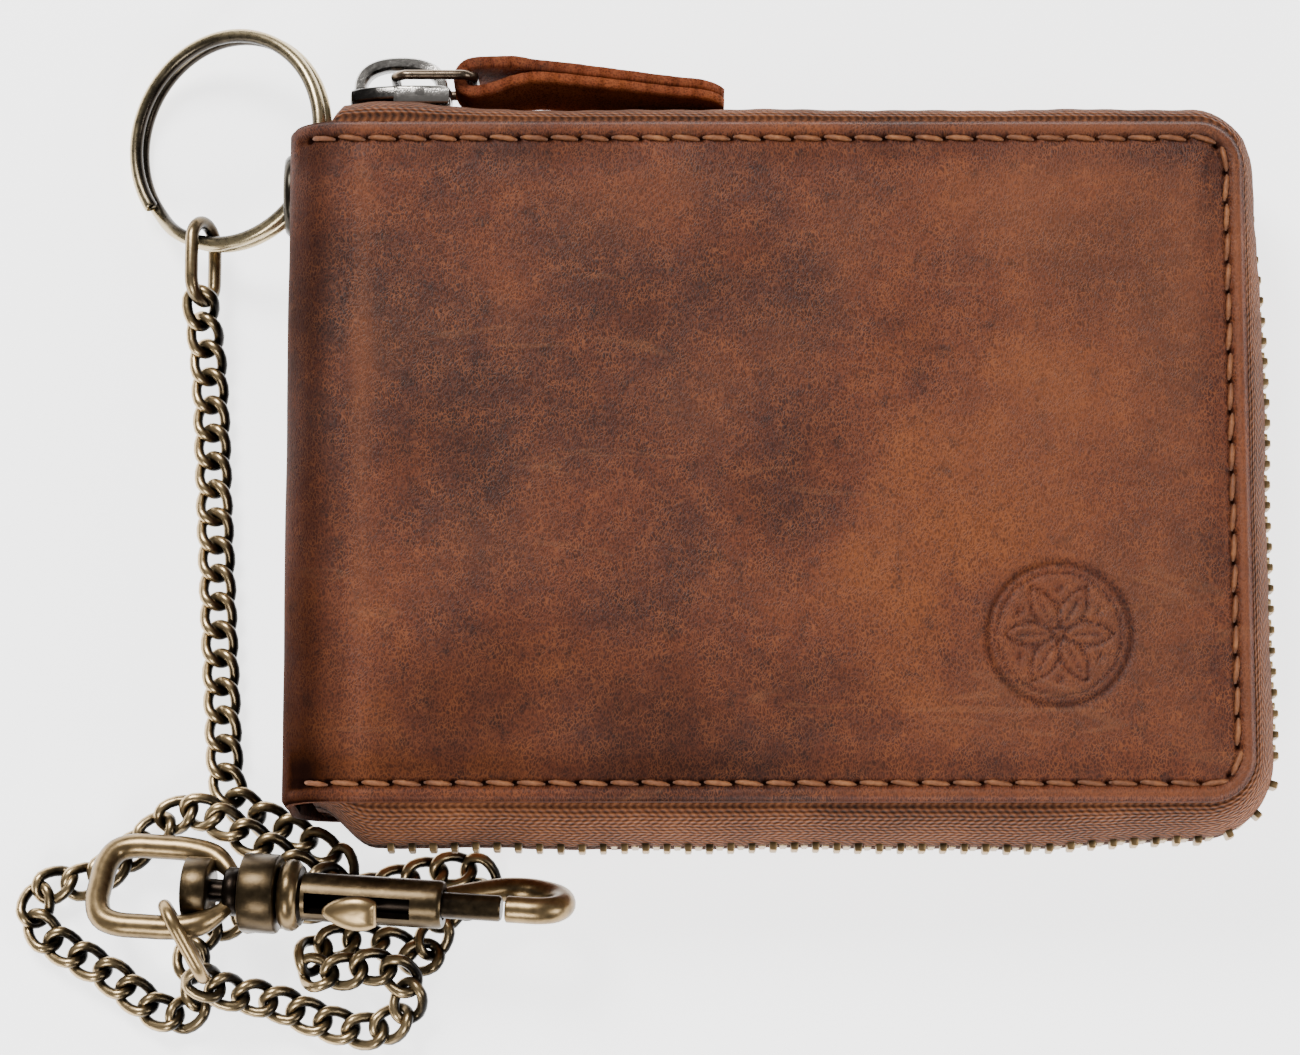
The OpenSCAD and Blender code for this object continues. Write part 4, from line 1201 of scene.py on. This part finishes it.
def tipped(q):
    """The free part of the tab leans, its underside turning up."""
    q = np.array(q, float)
    t = (math.radians(11.5) * float(smooth01((q[0] + 38.4) / 7)) * (1
            - 0.35 * float(smooth01((q[0] + 20) / 12))))
    dz = q[2] - ZM
    return np.array([q[0], q[1] + dz * math.sin(t) - 0.42 * math.sin(t) * 4.5, ZM + dz * math.cos(t)])


v, uv, tone_att = [], [], []
sl = np.concatenate([[0], np.cumsum(np.linalg.norm(np.diff(cl, axis=0), axis=1))])
for i in range(ns):
    wb = 0.04 * math.sin(i * 0.7) + 0.03 * math.sin(i * 1.9)
    for a, b in sec:
        q = cl[i] + nr[i] * half_t[i] * b
        v.append(tipped((q[0], q[1], ZM + (hw[i] + wb) * a)))
        uv.append((sl[i] / 1000 + 0.2, (a * 4.5 + b * 1.2) / 1000))
        # raw side edges vary in tone; the strip's outer faces are darker, which on the lower layer's
        # underside is painted shade
        side = abs(a) > 0.93
        tone_att.append((0.05 + 0.18 * math.sin(i * 0.9) + 0.1 * math.sin(i * 2.3) if side else 0.10)
                  + (0.45 if b < -0.9 else 0))
m = len(sec)
f = grid_faces(ns, m, close_v=True) + [tuple(range(m))[::-1], tuple(range((ns - 1) * m, ns * m))]
tab = Soup().add(v, f, att=tone_att, uv=uv).make("pull_tab_strip", M_TAB, "pull_tab", "tab_leather")
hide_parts("pull_tab")

soup = Soup()
for s in (-1, 1):
    for i in range(8):
        x = -30.2 + 2.9 * i
        j = np.argmin(np.abs(cl[:, 0] - x) + 50 * (np.arange(ns) < ns // 2))
        base = cl[j] + nr[j] * half_t[j] * 1.0
        q = np.linspace(-1, 1, 7)
        pts = [base + tg[j] * t * 1.05 + nr[j] * (0.12 - 0.3 * abs(t) ** 3)
               + np.array([0, 0, ZM + s * 3.3 + 0.1 * t]) for t in q]
        v, f = tube(np.array([tipped(t) for t in pts]), 0.3 * (1 - 0.4 * q ** 4), 7)
        # painted shade where the thread sinks into its holes
        soup.add(v, f, att=np.repeat(0.6 * np.abs(q) ** 4, 7))
ts = soup.make("pull_tab_stitches", M_THREAD, "pull_tab", "thread")
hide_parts("tab_stitches")


# ---------------------------------------------------------------- interior
def panel(soup, x0, x1, y0, y1, z0, z1, r=2.0):
    """A thin flat sheet with rounded corners."""
    b = min(0.35, (z1 - z0) * 0.45)
    poly = rrect(x0, x1, y0, y1, r, 5)
    dense = []
    for i in range(len(poly)):
        a, c = np.array(poly[i]), np.array(poly[(i + 1) % len(poly)])
        k = max(int(np.linalg.norm(c - a) / 3), 1)
        dense += [tuple(a + (c - a) * j / k) for j in range(k)]
    v, f, w = slab(dense, z0, z1, b, lambda a, c, h: np.array([a, c, h]))
    soup.add(v, f, att=w * -0.8)


def flipz(soup, side):
    """Mirrors the back cover's pieces through the closed wallet's middle."""
    if side == "back":
        soup.v = [q * [1, 1, -1] + [0, 0, T] for q in soup.v]
        soup.f = [q[::-1] for q in soup.f]
    return soup


for side in ("front", "back"):
    soup = Soup()
    panel(soup, -54.0, XR - 4.8, -YH + 4.8, YH - 4.8, 22.4, 22.95, 1.2)
    o = flipz(soup, side).make(side + "_lining_cloth", M_LINING, side + "_cover", "lining")
    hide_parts(side + "_lining")
    for k in range(4):
        soup = Soup()
        h = 68 - 10 * k
        z1 = 22.4 - 0.8 * k
        panel(soup, -50, 52, -36, -36 + h, z1 - 0.78, z1 - 0.02, 2.0)
        node = side + ("_pocket_%d" % (k + 1) if k < 3 else "_bill_panel")
        o = flipz(soup, side).make(node + "_leather", M_INNER, side + "_cover", "pocket_leather")
        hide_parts(node)
    # seams of the pockets' sides and bottom
    soup = Soup()
    z = 22.4 - 3.2
    pts = ([(-48.4, y) for y in np.arange(-1, -34, -3.2)] + [(x, -34.4) for x in np.arange(-46.5, 50, 3.2)]
           + [(50.4, y) for y in np.arange(-33, 1, 3.2)])
    for i, (x, y) in enumerate(pts):
        ver = abs(y + 34.4) > 0.01
        q = np.linspace(-1, 1, 5)
        p = np.array([(x + (0 if ver else t * 1.25), y + (t * 1.25 if ver else 0), z - 0.16
                       + 0.22 * abs(t) ** 3) for t in q])
        v, f = tube(p, 0.24, 6)
        soup.add(v, f, att=0.1)
    flipz(soup, side).make(side + "_pocket_seams", M_THREAD, side + "_cover", "thread")

# spine lining, as a bent cloth strip
prof = []
for t in np.linspace(math.pi, math.pi / 2, 10):
    prof.append((XL + SR + 5.38 * math.cos(t), T - SR + 5.38 * math.sin(t)))
prof = [(x, T - z) for x, z in prof[::-1]] + prof
rows = []
for y in np.linspace(-YH + 2.2, 30, 40):
    rows.append([(x, y, z) for x, z in prof] + [(x + 0.42 * (1 if abs(z - T / 2) < 6 else 0.7), y, z
                                                 + (0 if abs(z - T / 2) < 6
                                                    else -0.3 * math.copysign(1, z - T / 2))) for x,
                                                    z in prof[::-1]])
m = len(prof) * 2
v = np.array(rows).reshape(-1, 3)
f = grid_faces(40, m, close_v=True) + [tuple(range(m))[::-1], tuple(range(39 * m, 40 * m))]
o = Soup().add(v, f).make("spine_lining_cloth", M_LINING, "spine", "lining", auto=40)
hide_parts("spine_lining")

# ---------------------------------------------------------------- stage and light
fm = Mat("floor_white")
fm.set(Base_Color=(0.9, 0.9, 0.9), Roughness=0.9, Emission_Color=(1.0, 1.0, 1.0), Emission_Strength=2.6)
bpy.ops.mesh.primitive_plane_add(size=6, location=(0, 0, -0.0006))
floor = bpy.context.object
floor.name = "floor"
floor.data.materials.append(fm.m)


def area(name, loc, size, power, aim=(-0.015, 0, 0.01), size_y=None):
    d = bpy.data.lights.new(name, "AREA")
    d.energy, d.size = power, size
    if size_y:
        d.shape, d.size_y = "RECTANGLE", size_y
    o = bpy.data.objects.new(name, d)
    bpy.context.scene.collection.objects.link(o)
    o.location = loc
    o.rotation_euler = (Vector(aim) - Vector(loc)).to_track_quat("-Z", "Y").to_euler()
    return o


area("key", (-0.42, 0.70, 0.95), 0.45, 18)
area("fill", (0.95, -0.3, 0.75), 0.5, 9)
area("front", (-0.35, -0.95, 0.80), 0.4, 8)
world = bpy.data.worlds.new("studio")
bpy.context.scene.world = world
world.use_nodes = True
world.node_tree.nodes["Background"].inputs[0].default_value = (1, 1, 1, 1)
world.node_tree.nodes["Background"].inputs[1].default_value = 0.14
